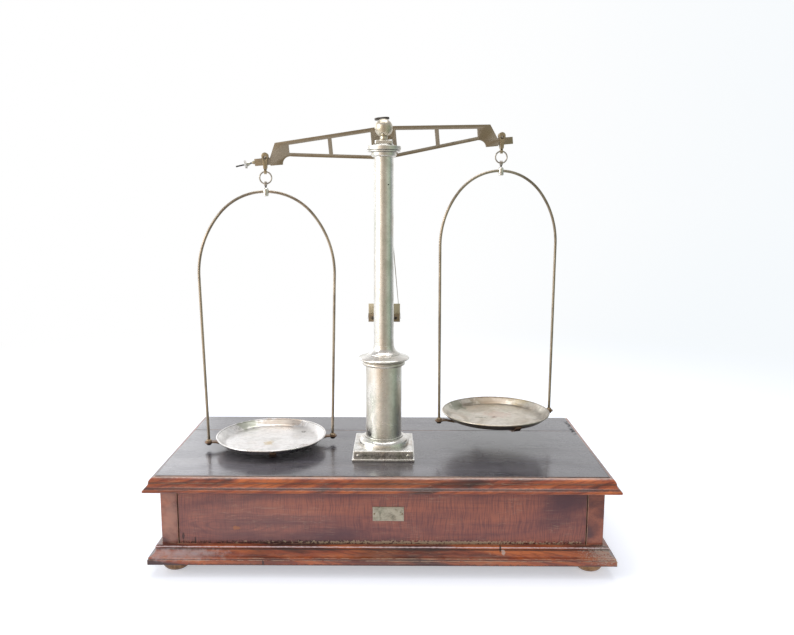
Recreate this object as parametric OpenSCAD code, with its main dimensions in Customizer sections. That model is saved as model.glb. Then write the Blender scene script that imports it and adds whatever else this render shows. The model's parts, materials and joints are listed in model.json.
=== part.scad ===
// Equal-arm column balance on a wooden case, millimetres, +Z up.
// The origin is on the table, under the middle of the case. +X is right and +Y is back.
// The column stands in front of the beam, so the beam, pointer and index plate are behind it.
// The rest position is the beam leaning with its left pan down.

/* [Case] */
// Width over the side boards
case_w = 448; // [430:1:520]
// Depth over the side boards
case_d = 203; // [180:1:260]
// Height of the walls that shows between the two mouldings
wall_h = 58; // [40:1:90]
// Thickness of the side boards
side_t = 16.5; // [12:0.5:22]
// Thickness of the front and back panels
panel_t = 12; // [8:0.5:18]
// How far the panels stand back from the ends of the side boards
panel_set = 0.8; // [0.2:0.1:3]
// Open joint between a panel and a side board
panel_gap = 0.8; // [0.2:0.1:2]
// Thickness of the two top boards
board_t = 10; // [8:0.5:14]
// How far the top boards reach past the walls
board_lip = 3.3; // [1:0.1:6]
// Place of the joint between the two top boards, behind the middle
board_joint_y = 48; // [20:1:70]
// Width of the open joint between the top boards
board_joint = 0.4; // [0.2:0.1:1]
// Thickness of the bottom board
bottom_t = 7; // [5:0.5:10]

/* [Mouldings] */
// Height of the top moulding
top_mould_h = 15; // [14.6:0.1:18]
// Reach of the top moulding past the walls
top_mould_out = 13.8; // [13:0.1:18]
// Radius of the small bead along its lower edge
top_bead_r = 1.8; // [1:0.1:2]
// Radius of its hollow
top_hollow_r = 4.8; // [4:0.1:5]
// Radius of the round under its upper edge
top_round_r = 5; // [4:0.1:5]
// Height of the base moulding
base_mould_h = 18; // [17:0.5:24]
// Reach of the base moulding past the walls
base_mould_out = 12.2; // [11:0.1:16]
// Height of the flat along its lower edge
base_flat_h = 5.6; // [3:0.1:7]
// Radius of its hollow
base_hollow_r = 7; // [6:0.1:7.5]
// Radius of the bead along its upper edge
base_bead_r = 1.7; // [1:0.1:2]

/* [Feet] */
// Height of the bun feet
foot_h = 13.5; // [8:0.5:25]
// Diameter of the bun feet
foot_d = 28; // [20:0.5:34]
// Distance of a foot's axis in from the outside of the side board
foot_in = 10; // [8:0.5:14]
// Diameter of the dowel on a foot
dowel_d = 8; // [5:0.5:10]
// Length of the dowel on a foot
dowel_l = 10; // [6:0.5:16]

/* [Nameplate] */
// Width of the bare nameplate
plate_w = 31.5; // [20:0.5:60]
// Height of the bare nameplate
plate_h = 15; // [10:0.5:20]
// Thickness of the nameplate
plate_t = 0.8; // [0.5:0.1:2]
// Place of the nameplate, right of the middle
plate_x = 6; // [-40:1:40]
// Depth of the nameplate's middle below the top of the case
plate_drop = 41; // [30:1:50]
// Diameter of the pin heads on the nameplate
plate_pin_d = 1.8; // [1:0.1:3]

/* [Column] */
// Distance of the column's axis in front of the middle of the case
column_front = 30; // [24:1:45]
// Width of the square plinth
plinth_w = 63.5; // [58:0.5:70]
// Height of the plinth
plinth_h = 11.6; // [8:0.2:16]
// Reach of the lip round the plinth's lower edge
plinth_lip = 1.3; // [0.5:0.1:3]
// Diameter of the pedestal's base ring
ring_d = 54.6; // [48:0.2:56]
// Height of the pedestal's base ring
ring_h = 8.9; // [8.9:0.1:12]
// Diameter of the pedestal
drum_d = 38.6; // [34:0.2:40]
// Height of the pedestal over its base ring
drum_h = 77.5; // [50:0.5:100]
// Wall of the pedestal
drum_wall = 2; // [1:0.1:4]
// Greatest diameter of the cornice
cornice_d = 55.2; // [50:0.2:60]
// Diameter of the tube at its foot
tube_foot_d = 21.3; // [18:0.1:24]
// Diameter of the tube at its head
tube_head_d = 20.5; // [18:0.1:24]
// Length of the tube that shows
tube_l = 196.6; // [120:0.5:260]
// Wall of the tube
tube_wall = 1.5; // [1:0.1:3]
// Diameter of the capital's flange
flange_d = 35.6; // [30:0.2:44]
// Thickness of the capital's flange
flange_t = 3.8; // [2:0.1:6]
// Diameter of the ball finial
ball_d = 18.6; // [14:0.2:24]
// Diameter of the ball's neck
neck_d = 7.8; // [7:0.1:12]
// Length of the ball's neck
neck_l = 4.4; // [2:0.1:10]
// Diameter of the tie rod
rod_d = 6; // [4:0.5:6.5]
// Play of the tie rod in its holes, across
rod_play = 0.4; // [0.2:0.1:1]

/* [Bearing] */
// Width of the arm's head under the ball
arm_head_w = 17.9; // [14:0.1:22]
// Thickness of the arm's head
arm_head_t = 3.3; // [2.5:0.1:6]
// Width of the arm where it passes through the beam
arm_w = 10; // [6:0.5:12]
// Depth of the arm where it passes through the beam
arm_deep = 4; // [3:0.1:5]
// Length of the bearing plate
bearing_l = 15; // [12:0.5:20]
// Thickness of the bearing plate
bearing_t = 2; // [1:0.1:3]
// Drop of the knife edge below the top of the arm's head
knife_drop = 3.1; // [2.5:0.1:5]

/* [Beam] */
// Length of each arm of the beam, from knife edge to knife edge
arm_l = 127; // [110:1:150]
// Lean of the beam at rest, left end down
rest_tilt = 5.2; // [0:0.1:6]
// Thickness of the beam
beam_t = 3; // [2.4:0.1:4]
// Turn of the beam on its bearing at rest, right end back
rest_turn = 4; // [-6:0.5:6]
// Height of the beam's top over the knife edge, at its middle
beam_top = 19.9; // [17:0.1:24]
// Height of the beam's top over the knife edge, at its end blocks
beam_end_top = 12.8; // [10:0.1:16]
// Depth of the beam's lower edge under the knife edge, at its middle
beam_low = 13.8; // [13:0.1:18]
// Depth of the beam's lower edge under the knife edge, at its end blocks
beam_end_low = 2.5; // [2:0.1:4]
// Thickness of the upper rail
rail_top_t = 4.2; // [3:0.1:5]
// Thickness of the lower rail
rail_low_t = 3.7; // [3:0.1:4.5]
// Half the width of the window in the middle
window_half = 9.05; // [8:0.05:11]
// Height of the window's top over the knife edge
window_top = 6.1; // [5:0.1:8]
// Width of the two posts beside the window
post_w = 4.4; // [3:0.1:6]
// Distance of the struts from the middle of the beam
strut_x = 57.3; // [45:0.1:70]
// Width of the struts
strut_w = 4.2; // [3:0.1:6]
// Distance from an end knife in to the end block's inner side
block_in = 26; // [20:0.5:32]
// Depth of the end block's underside below the knife edge
block_low = 10.4; // [9.6:0.1:12]
// Radius of the hollow at the end block's inner corner
block_hollow_r = 8; // [5:0.1:8]
// Reach of the tongue past the end knife
tongue_out = 11.5; // [9:0.1:16]
// Height of the tongue
tongue_h = 7.4; // [5:0.1:8]

/* [Knives] */
// Length of the middle knife
knife_l = 14; // [10:0.5:14.5]
// Width of the middle knife
knife_w = 6.4; // [4:0.1:7]
// Length of the end knives
end_knife_l = 10; // [8:0.5:12]
// Width of the end knives
end_knife_w = 2.4; // [1.6:0.1:2.6]
// Height of the end knives
end_knife_h = 2.4; // [2:0.1:2.8]

/* [Pointer and index] */
// Length of the pointer below the beam
pointer_l = 162; // [120:1:175]
// Diameter of the pointer wire
pointer_d = 1.1; // [0.8:0.1:2]
// Width of the index plate
index_w = 34.5; // [28:0.5:50]
// Height of the index plate
index_h = 19.6; // [14:0.1:30]
// Thickness of the index plate
index_t = 1.2; // [0.8:0.1:2]
// Depth of the index plate's lower edge below the tip of the pointer
index_under = 13.3; // [8:0.1:18]
// Gap between the index plate and the pointer's plane
index_gap = 2.4; // [1:0.1:4]
// Height of the block behind the index plate
index_block_h = 8.4; // [6:0.1:12]
// Thickness of the block behind the index plate
index_block_t = 3.6; // [2:0.1:6]
// Distance of the index screws from the middle
index_screw_x = 12.5; // [8:0.5:13]
// Diameter of the index screws
index_screw_d = 2; // [1.5:0.1:3]

/* [Adjusting nuts] */
// Diameter of the sensitivity nut
sense_nut_d = 15.8; // [10:0.2:20]
// Thickness of the sensitivity nut
sense_nut_t = 2.6; // [1.5:0.1:4]
// Height of the sensitivity nut over the top of the beam
sense_nut_z = 7.1; // [6.5:0.1:10]
// Diameter of both adjusting screws
adjust_d = 1.8; // [1.4:0.1:2]
// Travel of the sensitivity nut down its screw
sense_travel = 4; // [1:0.5:4.5]
// Length of the balance screw past the tongue
balance_screw_l = 20.5; // [19:0.5:34]
// Downward bend of the balance screw, in degrees
balance_bend = 8; // [0:0.5:10]
// Diameter of the balance nut
balance_nut_d = 8.6; // [6:0.2:9]
// Distance of the balance nut's disc from the end of the tongue
balance_nut_x = 8.6; // [8.2:0.1:12]

/* [Hangers] */
// Radius of the shackle's ears
ear_r = 3.7; // [3:0.1:4.5]
// Thickness of each cheek of the shackle
cheek_t = 1.6; // [1:0.1:2.5]
// Gap between a cheek and the beam
cheek_gap = 0.5; // [0.4:0.1:1]
// Depth of the shackle's eye below the knife edge
shackle_l = 16.2; // [16:0.1:20]
// Middle radius of the ring
ring_r = 6.3; // [5.5:0.1:8]
// Diameter of the ring's wire
ring_wire = 1.6; // [1.2:0.1:1.8]
// Diameter of the eyes that the ring runs through
eye_hole = 2.5; // [2.4:0.1:2.8]
// Diameter of the swivel block
swivel_d = 6; // [5:0.1:8]
// Height of the swivel block
swivel_h = 8.8; // [7.8:0.1:12]
// Depth of the bow's crown below the knife edge
crown_drop = 37; // [36.8:0.1:37.6]
// Diameter of the bow's wire
bow_wire = 3; // [2:0.1:4]
// Radius of the bow's crown
crown_r = 63.5; // [58:0.5:66]
// Half the angle of the bow's crown
crown_angle = 50; // [40:1:55]
// Half the greatest width of the left bow
belly_left = 72.5; // [70:0.5:80]
// Half the greatest width of the right bow
belly_right = 69.5; // [69:0.5:80]
// Half the span of the bow at its feet
bow_foot = 68.5; // [66:0.5:69]
// Gap between the lower pan's rivet and the top of the case at rest
pan_clear = 2.3; // [1:0.1:8]
// Turn of the left bow about its swivel at rest, in degrees
left_turn = 10.5; // [-30:0.5:30]
// Turn of the right bow about its swivel at rest, in degrees
right_turn = 18; // [-30:0.5:30]

/* [Pans] */
// Outer radius of a pan
pan_r = 60.7; // [58:0.1:62]
// Radius of a pan's flat floor
pan_floor_r = 50; // [45:0.1:51]
// Height of a pan
pan_h = 8; // [7.5:0.1:10]
// Thickness of a pan
pan_t = 0.8; // [0.6:0.1:1.2]
// Angle of a pan's wall over the level, in degrees
pan_slope = 45; // [42:1:48]
// Width of the strips under a pan
strip_w = 7; // [5:0.5:10]
// Thickness of the long strip
long_strip_t = 1.4; // [1:0.1:2]
// Thickness of the cross strip
cross_strip_t = 1.2; // [0.8:0.1:2]
// Fall of the long strip from the bow's feet to the pan
strip_fall = 2.7; // [2:0.1:4]
// Radius of the eyes at the ends of the long strip
strip_eye_r = 4.6; // [3.5:0.1:6]

/* [Hidden] */
$fn = 72;
LEFT = -1;
RIGHT = 1;
// Overshoot of a cut past the face that it leaves
cut = 1;

// Heights in the case
body_z = foot_h;
top_z = body_z + base_mould_h + wall_h + top_mould_h;
board_z = top_z - board_t;
inner_w = case_w - 2 * side_t;
inner_d = case_d - 2 * (panel_set + panel_t);
bottom_rise = 4;
bottom_z = body_z + bottom_rise;
batten_t = 12;
batten_z = board_z - batten_t;
battens = [[-case_w / 3, 30], [0, 44], [case_w / 3, 30]];
glue_leg = 16;
hole_d = rod_d + rod_play;
plate_pin_in = 1.6;
plate_shank_d = 1;
plate_shank_l = 5;

// Heights in the column
plinth_z = top_z + plinth_h;
drum_z = plinth_z + ring_h;
cornice_z = drum_z + drum_h;
cornice_h = 21.7;
tube_z = cornice_z + cornice_h;
tube_socket = 4;
capital_z = tube_z + tube_l;
bell_h = 5.4;
bell_disc_h = 1.8;
flange_z = capital_z + bell_h + bell_disc_h;
dome_z = flange_z + flange_t;
dome_h = 2.2;
dome_top_d = 17.8;
head_z = dome_z + dome_h;
neck_z = head_z + arm_head_t;
ball_z = neck_z + neck_l + ball_d / 2 - ball_seat(neck_d);
column_y = -column_front;
plinth_pin_d = 1.6;
plinth_pin_l = 4;
plinth_pin_head_d = 3.4;
plinth_pin_head_h = 0.7;
plinth_pin_in = 5.5;
plinth_pin_share = 0.56;
pivot_z = neck_z - knife_drop;
bearing_gap = 0.05;
bearing_w = 8;
rod_below_ball = 4;
rod_below_batten = 12;
rod_top = ball_z - rod_below_ball;
rod_bottom = batten_z - rod_below_batten;
washer_d = 24;
washer_t = 2;
nut_flats = 10;
nut_t = 5;

// Beam outline
half_post = window_half + post_w;
block_x = arm_l - block_in;
tongue_x = arm_l + tongue_out;
tongue_top = -2;
tongue_low = tongue_top - tongue_h;
block_top_in = 11.7;
block_side_in = 5;
block_foot_in = 17.8;
block_top_x = arm_l - block_top_in;
block_side_x = arm_l - block_side_in;
block_foot_x = arm_l - block_foot_in;
hollow_x = block_foot_x - block_hollow_r;
beam_flat = 10;
boss_half = 3;
saddle_half = 4.5;
saddle_top_half = 2.6;
saddle_rise = 1.2;
knife_seat = 2.5;
balance_root_l = 5;
balance_share = 0.46;

// Pointer and index
pointer_boss_d = 3.8;
pointer_boss_l = 6;
pointer_stud_d = 1.6;
pointer_stud_l = 3;
index_z = pivot_z - beam_low - pointer_l - index_under;
index_y = -index_gap - index_t;
index_block_y = index_y - index_block_t;
index_cut = -2 * index_block_y + 2 * cut;

// Hangers, measured down from the knife edge
cheek_y = beam_t / 2 + cheek_gap;
bridge_top = -11;
bridge_low = -13.6;
ear_hole_d = 3.8;
stalk_half = 1.2;
eye_wall = 1.4;
eye_w = 2.8;
shackle_eye_z = -shackle_l;
ring_z = shackle_eye_z - ring_r;
swivel_eye_z = ring_z - ring_r;
block_under_eye = 4.4;
block_z = swivel_eye_z - block_under_eye;
swivel_stem_d = 2;
swivel_head_d = 3.4;
swivel_head_h = 0.7;
swivel_stem_sunk = 2.1;
swivel_bore_deep = 3;
swivel_play = 0.1;
rivet_d = 4;
rivet_head_d = 6.4;
rivet_head_h = 0.8;
cross_z = top_z + pan_clear + rivet_head_h + cross_strip_t - hanger_z(LEFT);
pan_z = cross_z + long_strip_t;
strip_z = pan_z + strip_fall;
foot_upright = 8;
foot_proud = 0.5;
wire_step = 0.06;
wire_lap = 0.3;
crown_z = -crown_drop - crown_r;
bow_nut_d = 5.6;
bow_low_nut_d = 6.4;
bow_nut_h = 2.2;

silver = "#b9b3a4";
brass = "#8d8066";
steel = "#6d675e";
dark_steel = "#4a4644";
ebony = "#26242a";
mahogany = "#7b4334";
light_wood = "#c08a4e";

// How far a round neck goes into the ball that it carries
function ball_seat(d) = ball_d / 2 - sqrt(ball_d * ball_d - d * d) / 2;

// Where a hanger's knife edge is at rest
function hanger_x(side) = side * arm_l * cos(rest_tilt) * cos(rest_turn);
function hanger_y(side) = side * arm_l * cos(rest_tilt) * sin(rest_turn);
function hanger_z(side) = pivot_z + side * arm_l * sin(rest_tilt);
function turn(side) = side == LEFT ? left_turn : right_turn;
function belly(side) = side == LEFT ? belly_left : belly_right;

// Height of the upper rail's top, and of the lower rail's underside, along the beam
function rail_top(x) = beam_top + (beam_end_top - beam_top) * (x - beam_flat) / (block_top_x - beam_flat);
function rail_low(x) = -beam_low + (beam_low - beam_end_low) * (x - boss_half) / (block_x - boss_half);

module tube(outer, inner, height) {
    difference() {
        cylinder(d = outer, h = height);
        translate([0, 0, -cut]) cylinder(d = inner, h = height + 2 * cut);
    }
}

module rod(d, height) {
    cylinder(d = d, h = height);
}

// Places in the assembly
module at_column(z) {
    translate([0, column_y, z]) children();
}

module at_beam() {
    translate([0, 0, pivot_z]) rotate([0, 0, rest_turn]) rotate([0, -rest_tilt, 0]) children();
}

module at_knife(side) {
    translate([hanger_x(side), hanger_y(side), hanger_z(side)]) children();
}

module at_hanger(side) {
    at_knife(side) rotate([0, 0, rest_turn]) children();
}

module at_bow(side) {
    at_knife(side) rotate([0, 0, turn(side)]) children();
}

// Both ends, mirrored
module both() {
    for (side = [LEFT, RIGHT]) scale_x(side) children();
}

module scale_x(side) {
    if (side == LEFT) mirror([1, 0, 0]) children();
    else children();
}

// Turns a flat outline so that it stands in the XZ plane, centred on Y, t thick
module upright(t) {
    rotate([90, 0, 0]) translate([0, 0, -t / 2]) linear_extrude(height = t) children();
}

// Mouldings: the profile's x is the reach past the wall, its y is the height
module top_profile() {
    hollow_x = top_mould_out - 0.2;
    hollow_y = top_mould_h - 5.8;
    flat_y = hollow_y - top_hollow_r + 0.1;
    difference() {
        union() {
            translate([top_mould_out - top_bead_r, top_bead_r]) circle(r = top_bead_r);
            square([top_mould_out - top_bead_r, 2 * top_bead_r]);
            square([top_mould_out - top_bead_r - 0.2, flat_y]);
            difference() {
                translate([0, flat_y - 0.4]) square([hollow_x - 1, hollow_y - flat_y + 0.4]);
                translate([hollow_x, hollow_y]) circle(r = top_hollow_r);
            }
            intersection() {
                translate([hollow_x - top_hollow_r - top_round_r, hollow_y]) circle(r = top_round_r);
                translate([0, hollow_y]) square(top_mould_out);
            }
            translate([0, hollow_y]) square([hollow_x - top_hollow_r - top_round_r, top_round_r]);
        }
        translate([-cut, top_mould_h - board_t]) square([board_lip + cut, board_t + cut]);
    }
}

module base_profile() {
    bead_x = base_mould_out - 8.3;
    hollow_y = base_mould_h - 2 * base_bead_r;
    lower_y = hollow_y - base_hollow_r + 0.1;
    square([base_mould_out, base_flat_h]);
    square([base_mould_out - 0.8, lower_y]);
    difference() {
        translate([0, lower_y - 0.4]) square([base_mould_out - 0.8, hollow_y - lower_y + 0.4]);
        translate([base_mould_out, hollow_y]) circle(r = base_hollow_r);
    }
    translate([bead_x, base_mould_h - base_bead_r]) circle(r = base_bead_r);
    translate([0, hollow_y]) square([bead_x, 2 * base_bead_r]);
}

// A moulding along X, mitred at both ends, against a wall at y = 0
module mitred(length, reach, height) {
    far = reach + cut;
    intersection() {
        rotate([90, 0, 90]) linear_extrude(height = length + 2 * far, center = true) children();
        translate([0, 0, -cut]) linear_extrude(height = height + 2 * cut)
            polygon([[-length / 2, 0], [length / 2, 0], [length / 2 + far, far], [-length / 2 - far, far]]);
    }
}

module mould_pair(length, distance, z, angle) {
    for (side = [0, 180])
        rotate([0, 0, side + angle]) translate([0, distance / 2, z]) children();
}

module top_mouldings_long() {
    color(mahogany) mould_pair(case_w, case_d, top_z - top_mould_h, 0)
        mitred(case_w, top_mould_out, top_mould_h) top_profile();
}

module top_mouldings_end() {
    color(mahogany) mould_pair(case_d, case_w, top_z - top_mould_h, 90)
        mitred(case_d, top_mould_out, top_mould_h) top_profile();
}

module base_mouldings_long() {
    color(mahogany) mould_pair(case_w, case_d, body_z, 0)
        mitred(case_w, base_mould_out, base_mould_h) base_profile();
}

module base_mouldings_end() {
    color(mahogany) mould_pair(case_d, case_w, body_z, 90)
        mitred(case_d, base_mould_out, base_mould_h) base_profile();
}

// Case boards
module top_board(y0, y1) {
    width = case_w + 2 * board_lip;
    difference() {
        translate([-width / 2, y0, board_z]) cube([width, y1 - y0, board_t]);
        at_column(board_z - cut) rod(hole_d, board_t + 2 * cut);
    }
}

module top_board_front() {
    color(ebony) top_board(-case_d / 2 - board_lip, board_joint_y - board_joint / 2);
}

module top_board_rear() {
    color(ebony) top_board(board_joint_y + board_joint / 2, case_d / 2 + board_lip);
}

module panel(side) {
    width = inner_w - 2 * panel_gap;
    y = side == LEFT ? -case_d / 2 + panel_set : case_d / 2 - panel_set - panel_t;
    translate([-width / 2, y, body_z]) cube([width, panel_t, board_z - body_z]);
}

module front_panel() {
    color(mahogany) difference() {
        panel(LEFT);
        nameplate_pin_shanks();
    }
}

module back_panel() {
    color(mahogany) panel(RIGHT);
}

module side_board(side) {
    x = side == LEFT ? -case_w / 2 : case_w / 2 - side_t;
    difference() {
        translate([x, -case_d / 2, body_z]) cube([side_t, case_d, board_z - body_z]);
        foot_places() translate([0, 0, foot_h - cut]) rod(dowel_d, dowel_l + cut);
    }
}

module left_side() {
    color(mahogany) side_board(LEFT);
}

module right_side() {
    color(mahogany) side_board(RIGHT);
}

module bottom_board() {
    color(light_wood) translate([-inner_w / 2, -inner_d / 2, bottom_z])
        cube([inner_w, inner_d, bottom_t]);
}

module glue_blocks() {
    z = bottom_z + bottom_t;
    color(light_wood) for (turned = [0, 1]) both()
        mirror([0, turned, 0]) translate([inner_w / 2, inner_d / 2, z])
            linear_extrude(height = board_z - z) polygon([[0, 0], [-glue_leg, 0], [0, -glue_leg]]);
}

module top_battens() {
    color(light_wood) for (batten = battens) difference() {
        translate([batten[0] - batten[1] / 2, -inner_d / 2, batten_z])
            cube([batten[1], inner_d, batten_t]);
        at_column(batten_z - cut) rod(hole_d, batten_t + 2 * cut);
    }
}

module foot_places() {
    x = case_w / 2 - foot_in;
    y = case_d / 2 - foot_d / 2 + 0.5;
    for (px = [-x, x]) for (py = [-y, y]) translate([px, py, 0]) children();
}

module feet() {
    flat_d = foot_d * 0.68;
    color(light_wood) foot_places() {
        rotate_extrude() intersection() {
            square([foot_d, foot_h]);
            union() {
                square([flat_d / 2, foot_h]);
                translate([foot_d / 2 - foot_h / 2, foot_h / 2]) circle(d = foot_h);
                translate([flat_d / 2 - cut, 0]) square([foot_d / 2 - foot_h / 2 - flat_d / 2 + cut, foot_h]);
            }
        }
        translate([0, 0, foot_h - cut]) rod(dowel_d, dowel_l + cut);
    }
}

// Nameplate
module on_front(z_drop) {
    translate([plate_x, -case_d / 2 + panel_set, top_z - z_drop]) rotate([90, 0, 0]) children();
}

module nameplate_pin_places() {
    for (side = [LEFT, RIGHT])
        on_front(plate_drop) translate([side * (plate_w / 2 - plate_pin_in), 0, 0]) children();
}

module nameplate_pin_shanks() {
    nameplate_pin_places() translate([0, 0, -plate_shank_l])
        cylinder(d = plate_shank_d, h = plate_shank_l + plate_t);
}

module nameplate() {
    color(silver) difference() {
        on_front(plate_drop) translate([-plate_w / 2, -plate_h / 2, 0]) cube([plate_w, plate_h, plate_t]);
        nameplate_pin_places() translate([0, 0, -cut])
            cylinder(d = plate_shank_d, h = plate_t + 2 * cut);
    }
}

module nameplate_pins() {
    color(brass) {
        nameplate_pin_shanks();
        nameplate_pin_places() translate([0, 0, plate_t]) intersection() {
            translate([0, 0, -plate_pin_d / 4]) sphere(d = plate_pin_d * 1.12);
            cylinder(d = plate_pin_d, h = plate_pin_d);
        }
    }
}

// Column
module plinth() {
    lip_w = plinth_w + 2 * plinth_lip;
    lip_h = 2.6;
    color(silver) at_column(top_z) difference() {
        union() {
            translate([-lip_w / 2, -lip_w / 2, 0]) cube([lip_w, lip_w, lip_h]);
            translate([-plinth_w / 2, -plinth_w / 2, 0]) cube([plinth_w, plinth_w, plinth_h]);
        }
        translate([0, 0, -cut]) rod(hole_d, plinth_h + 2 * cut);
        plinth_pin_places() translate([0, 0, -plinth_pin_l]) cylinder(d = plinth_pin_d, h = plinth_pin_l + cut);
    }
}

module plinth_pin_places() {
    z = plinth_h * plinth_pin_share;
    for (face = [0, 180]) rotate([0, 0, face]) for (side = [LEFT, RIGHT])
        translate([side * (plinth_w / 2 - plinth_pin_in), -plinth_w / 2, z]) rotate([90, 0, 0]) children();
}

module plinth_pins() {
    color(silver) at_column(top_z) plinth_pin_places() {
        translate([0, 0, -plinth_pin_l]) cylinder(d = plinth_pin_d, h = plinth_pin_l);
        cylinder(d = plinth_pin_head_d, h = plinth_pin_head_h);
    }
}

module pedestal() {
    foot_round = 5.6;
    foot_flat = 1.6;
    shoulder = ring_d / 2 - foot_round;
    color(silver) at_column(plinth_z) difference() {
        rotate_extrude() {
            square([ring_d / 2, foot_flat]);
            square([shoulder, foot_flat + foot_round]);
            intersection() {
                translate([shoulder, foot_flat]) circle(r = foot_round);
                translate([0, foot_flat]) square(ring_d);
            }
            square([drum_d / 2 + 1.2, ring_h]);
            square([drum_d / 2, ring_h + drum_h]);
        }
        translate([0, 0, -cut]) rod(hole_d, ring_h + 2 * cut);
        translate([0, 0, ring_h - 3]) rod(drum_d - 2 * drum_wall, drum_h + 3 + cut);
    }
}

module cornice() {
    bead_r = 2;
    flare_r = 10;
    flare_out = 6.2;
    nose = cornice_d / 2;
    tube_r = tube_foot_d / 2;
    bead_x = drum_d / 2 + 1.8;
    color(silver) at_column(cornice_z) difference() {
        rotate_extrude() {
            translate([bead_x, bead_r]) circle(r = bead_r);
            square([bead_x, 2 * bead_r]);
            square([bead_x + 1, 5.4]);
            polygon([[0, 4.8], [bead_x + 1.2, 4.8], [nose - 1, 6.3], [nose - 0.2, 6.8], [nose, 7.3],
                [nose - 0.3, 7.9], [nose - 1.2, 8.6], [nose - 5.4, 10.1], [nose - 10.2, 11.7], [0, 11.7]]);
            difference() {
                square([tube_r + flare_out + 0.3, cornice_h]);
                translate([tube_r + flare_r + 0.3, cornice_h]) circle(r = flare_r);
                translate([tube_r + flare_r + 0.3, 12]) square(cornice_h);
            }
        }
        translate([0, 0, cornice_h - tube_socket]) rod(tube_foot_d, tube_socket + cut);
        translate([0, 0, -cut]) rod(hole_d, cornice_h + 2 * cut);
    }
}

module tube_outside(z0, z1) {
    fall = (tube_foot_d - tube_head_d) / 2 / tube_l;
    r0 = tube_foot_d / 2 - fall * z0;
    r1 = tube_foot_d / 2 - fall * z1;
    translate([0, 0, z0]) cylinder(r1 = r0, r2 = r1, h = z1 - z0);
}

module column_tube() {
    bore = min(tube_foot_d, tube_head_d) - 2 * tube_wall;
    color(silver) at_column(tube_z) difference() {
        union() {
            translate([0, 0, -tube_socket]) rod(tube_foot_d, tube_socket);
            tube_outside(0, tube_l);
            translate([0, 0, tube_l]) rod(tube_head_d, tube_socket);
        }
        translate([0, 0, -tube_socket - cut]) rod(bore, tube_l + 2 * tube_socket + 2 * cut);
    }
}

module capital() {
    bell_r = 13.3;
    bell_round = 2.8;
    disc_t = 1;
    groove = 0.8;
    body_h = flange_z - capital_z;
    color(silver) at_column(capital_z) difference() {
        rotate_extrude() {
            intersection() {
                translate([bell_r - bell_round, bell_round]) circle(r = bell_round);
                square([bell_r, bell_round]);
            }
            square([bell_r - bell_round, body_h]);
            translate([0, bell_round]) square([bell_r, bell_h - bell_round]);
            translate([0, bell_h]) square([flange_d / 2 - 0.8, disc_t]);
            translate([0, bell_h]) square([flange_d / 2 - 1.8, disc_t + groove]);
            translate([0, body_h]) square([flange_d / 2, flange_t]);
        }
        translate([0, 0, -cut]) rod(tube_head_d, tube_socket + cut);
        rod(hole_d, body_h + flange_t + cut);
    }
}

module cap_dome() {
    color(silver) at_column(dome_z) difference() {
        rotate_extrude() intersection() {
            square([dome_top_d, dome_h]);
            union() {
                translate([dome_top_d / 2, 0]) circle(r = dome_h);
                square([dome_top_d / 2, dome_h]);
            }
        }
        translate([0, 0, -cut]) rod(hole_d, dome_h + 2 * cut);
    }
}

// The arm's side view: it leaves the head, steps down past the flange and ends in a lip
module arm_side() {
    high = neck_z;
    seat = pivot_z - bearing_gap - bearing_t;
    lip = pivot_z + 0.8;
    half = bearing_l / 2;
    y0 = column_y + arm_head_w / 2 - cut;
    y1 = column_y + flange_d / 2 + 1.5;
    polygon([[y0, head_z], [y0, high], [y1 - 1, high], [y1 + 2, lip], [-half, lip], [-half, seat],
        [half, seat], [half, lip], [half + 2.5, lip], [half + 2.5, seat - arm_deep + 1],
        [half + 1.5, seat - arm_deep], [y1 + 2, seat - arm_deep], [y1, dome_z + 0.6], [y1 - 2, dome_z + 0.3],
        [y0 + 3, dome_z + 0.3], [y0 + 3, head_z]]);
}

module bearing_arm() {
    corner = 1.5;
    inset = arm_head_w / 2 - corner;
    color(silver) difference() {
        union() {
            at_column(head_z) linear_extrude(height = arm_head_t) {
                for (px = [-inset, inset]) for (py = [-inset, inset])
                    translate([px, py]) circle(r = corner);
                square([arm_head_w, 2 * inset], center = true);
                square([2 * inset, arm_head_w], center = true);
            }
            rotate([90, 0, 90]) linear_extrude(height = arm_w, center = true) arm_side();
        }
        at_column(head_z - cut) rod(hole_d, arm_head_t + 2 * cut);
    }
}

module bearing_plate() {
    color("#8a3b2a") translate([-bearing_w / 2, -bearing_l / 2, pivot_z - bearing_gap - bearing_t])
        cube([bearing_w, bearing_l, bearing_t]);
}

module ball_finial() {
    color(silver) at_column(0) difference() {
        union() {
            translate([0, 0, neck_z]) rod(neck_d, neck_l + 2);
            translate([0, 0, ball_z]) sphere(d = ball_d);
        }
        translate([0, 0, neck_z - cut]) rod(rod_d, rod_top - neck_z + cut);
    }
}

module tie_rod() {
    color(steel) at_column(rod_bottom) rod(rod_d, rod_top - rod_bottom);
}

module rod_washer() {
    color(steel) at_column(batten_z - washer_t) tube(washer_d, hole_d, washer_t);
}

module rod_nut() {
    color(steel) at_column(batten_z - washer_t - nut_t) difference() {
        cylinder(d = nut_flats / cos(30), h = nut_t, $fn = 6);
        translate([0, 0, -cut]) rod(rod_d, nut_t + 2 * cut);
    }
}

// Index behind the tube
module index_bracket() {
    bracket_w = 8;
    color(brass) difference() {
        translate([-bracket_w / 2, column_y, index_z + 1])
            cube([bracket_w, index_block_y - column_y, index_block_h - 2]);
        at_column(tube_z) tube_outside(0, tube_l);
    }
}

module index_screw_places() {
    for (x = [-index_screw_x, index_screw_x])
        translate([x, 0, index_z + index_block_h / 2]) rotate([90, 0, 0]) children();
}

module index_block() {
    color(brass) difference() {
        translate([-index_w / 2, index_block_y, index_z])
            cube([index_w, index_block_t, index_block_h]);
        index_screw_places() cylinder(d = index_screw_d, h = index_cut, center = true);
    }
}

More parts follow.
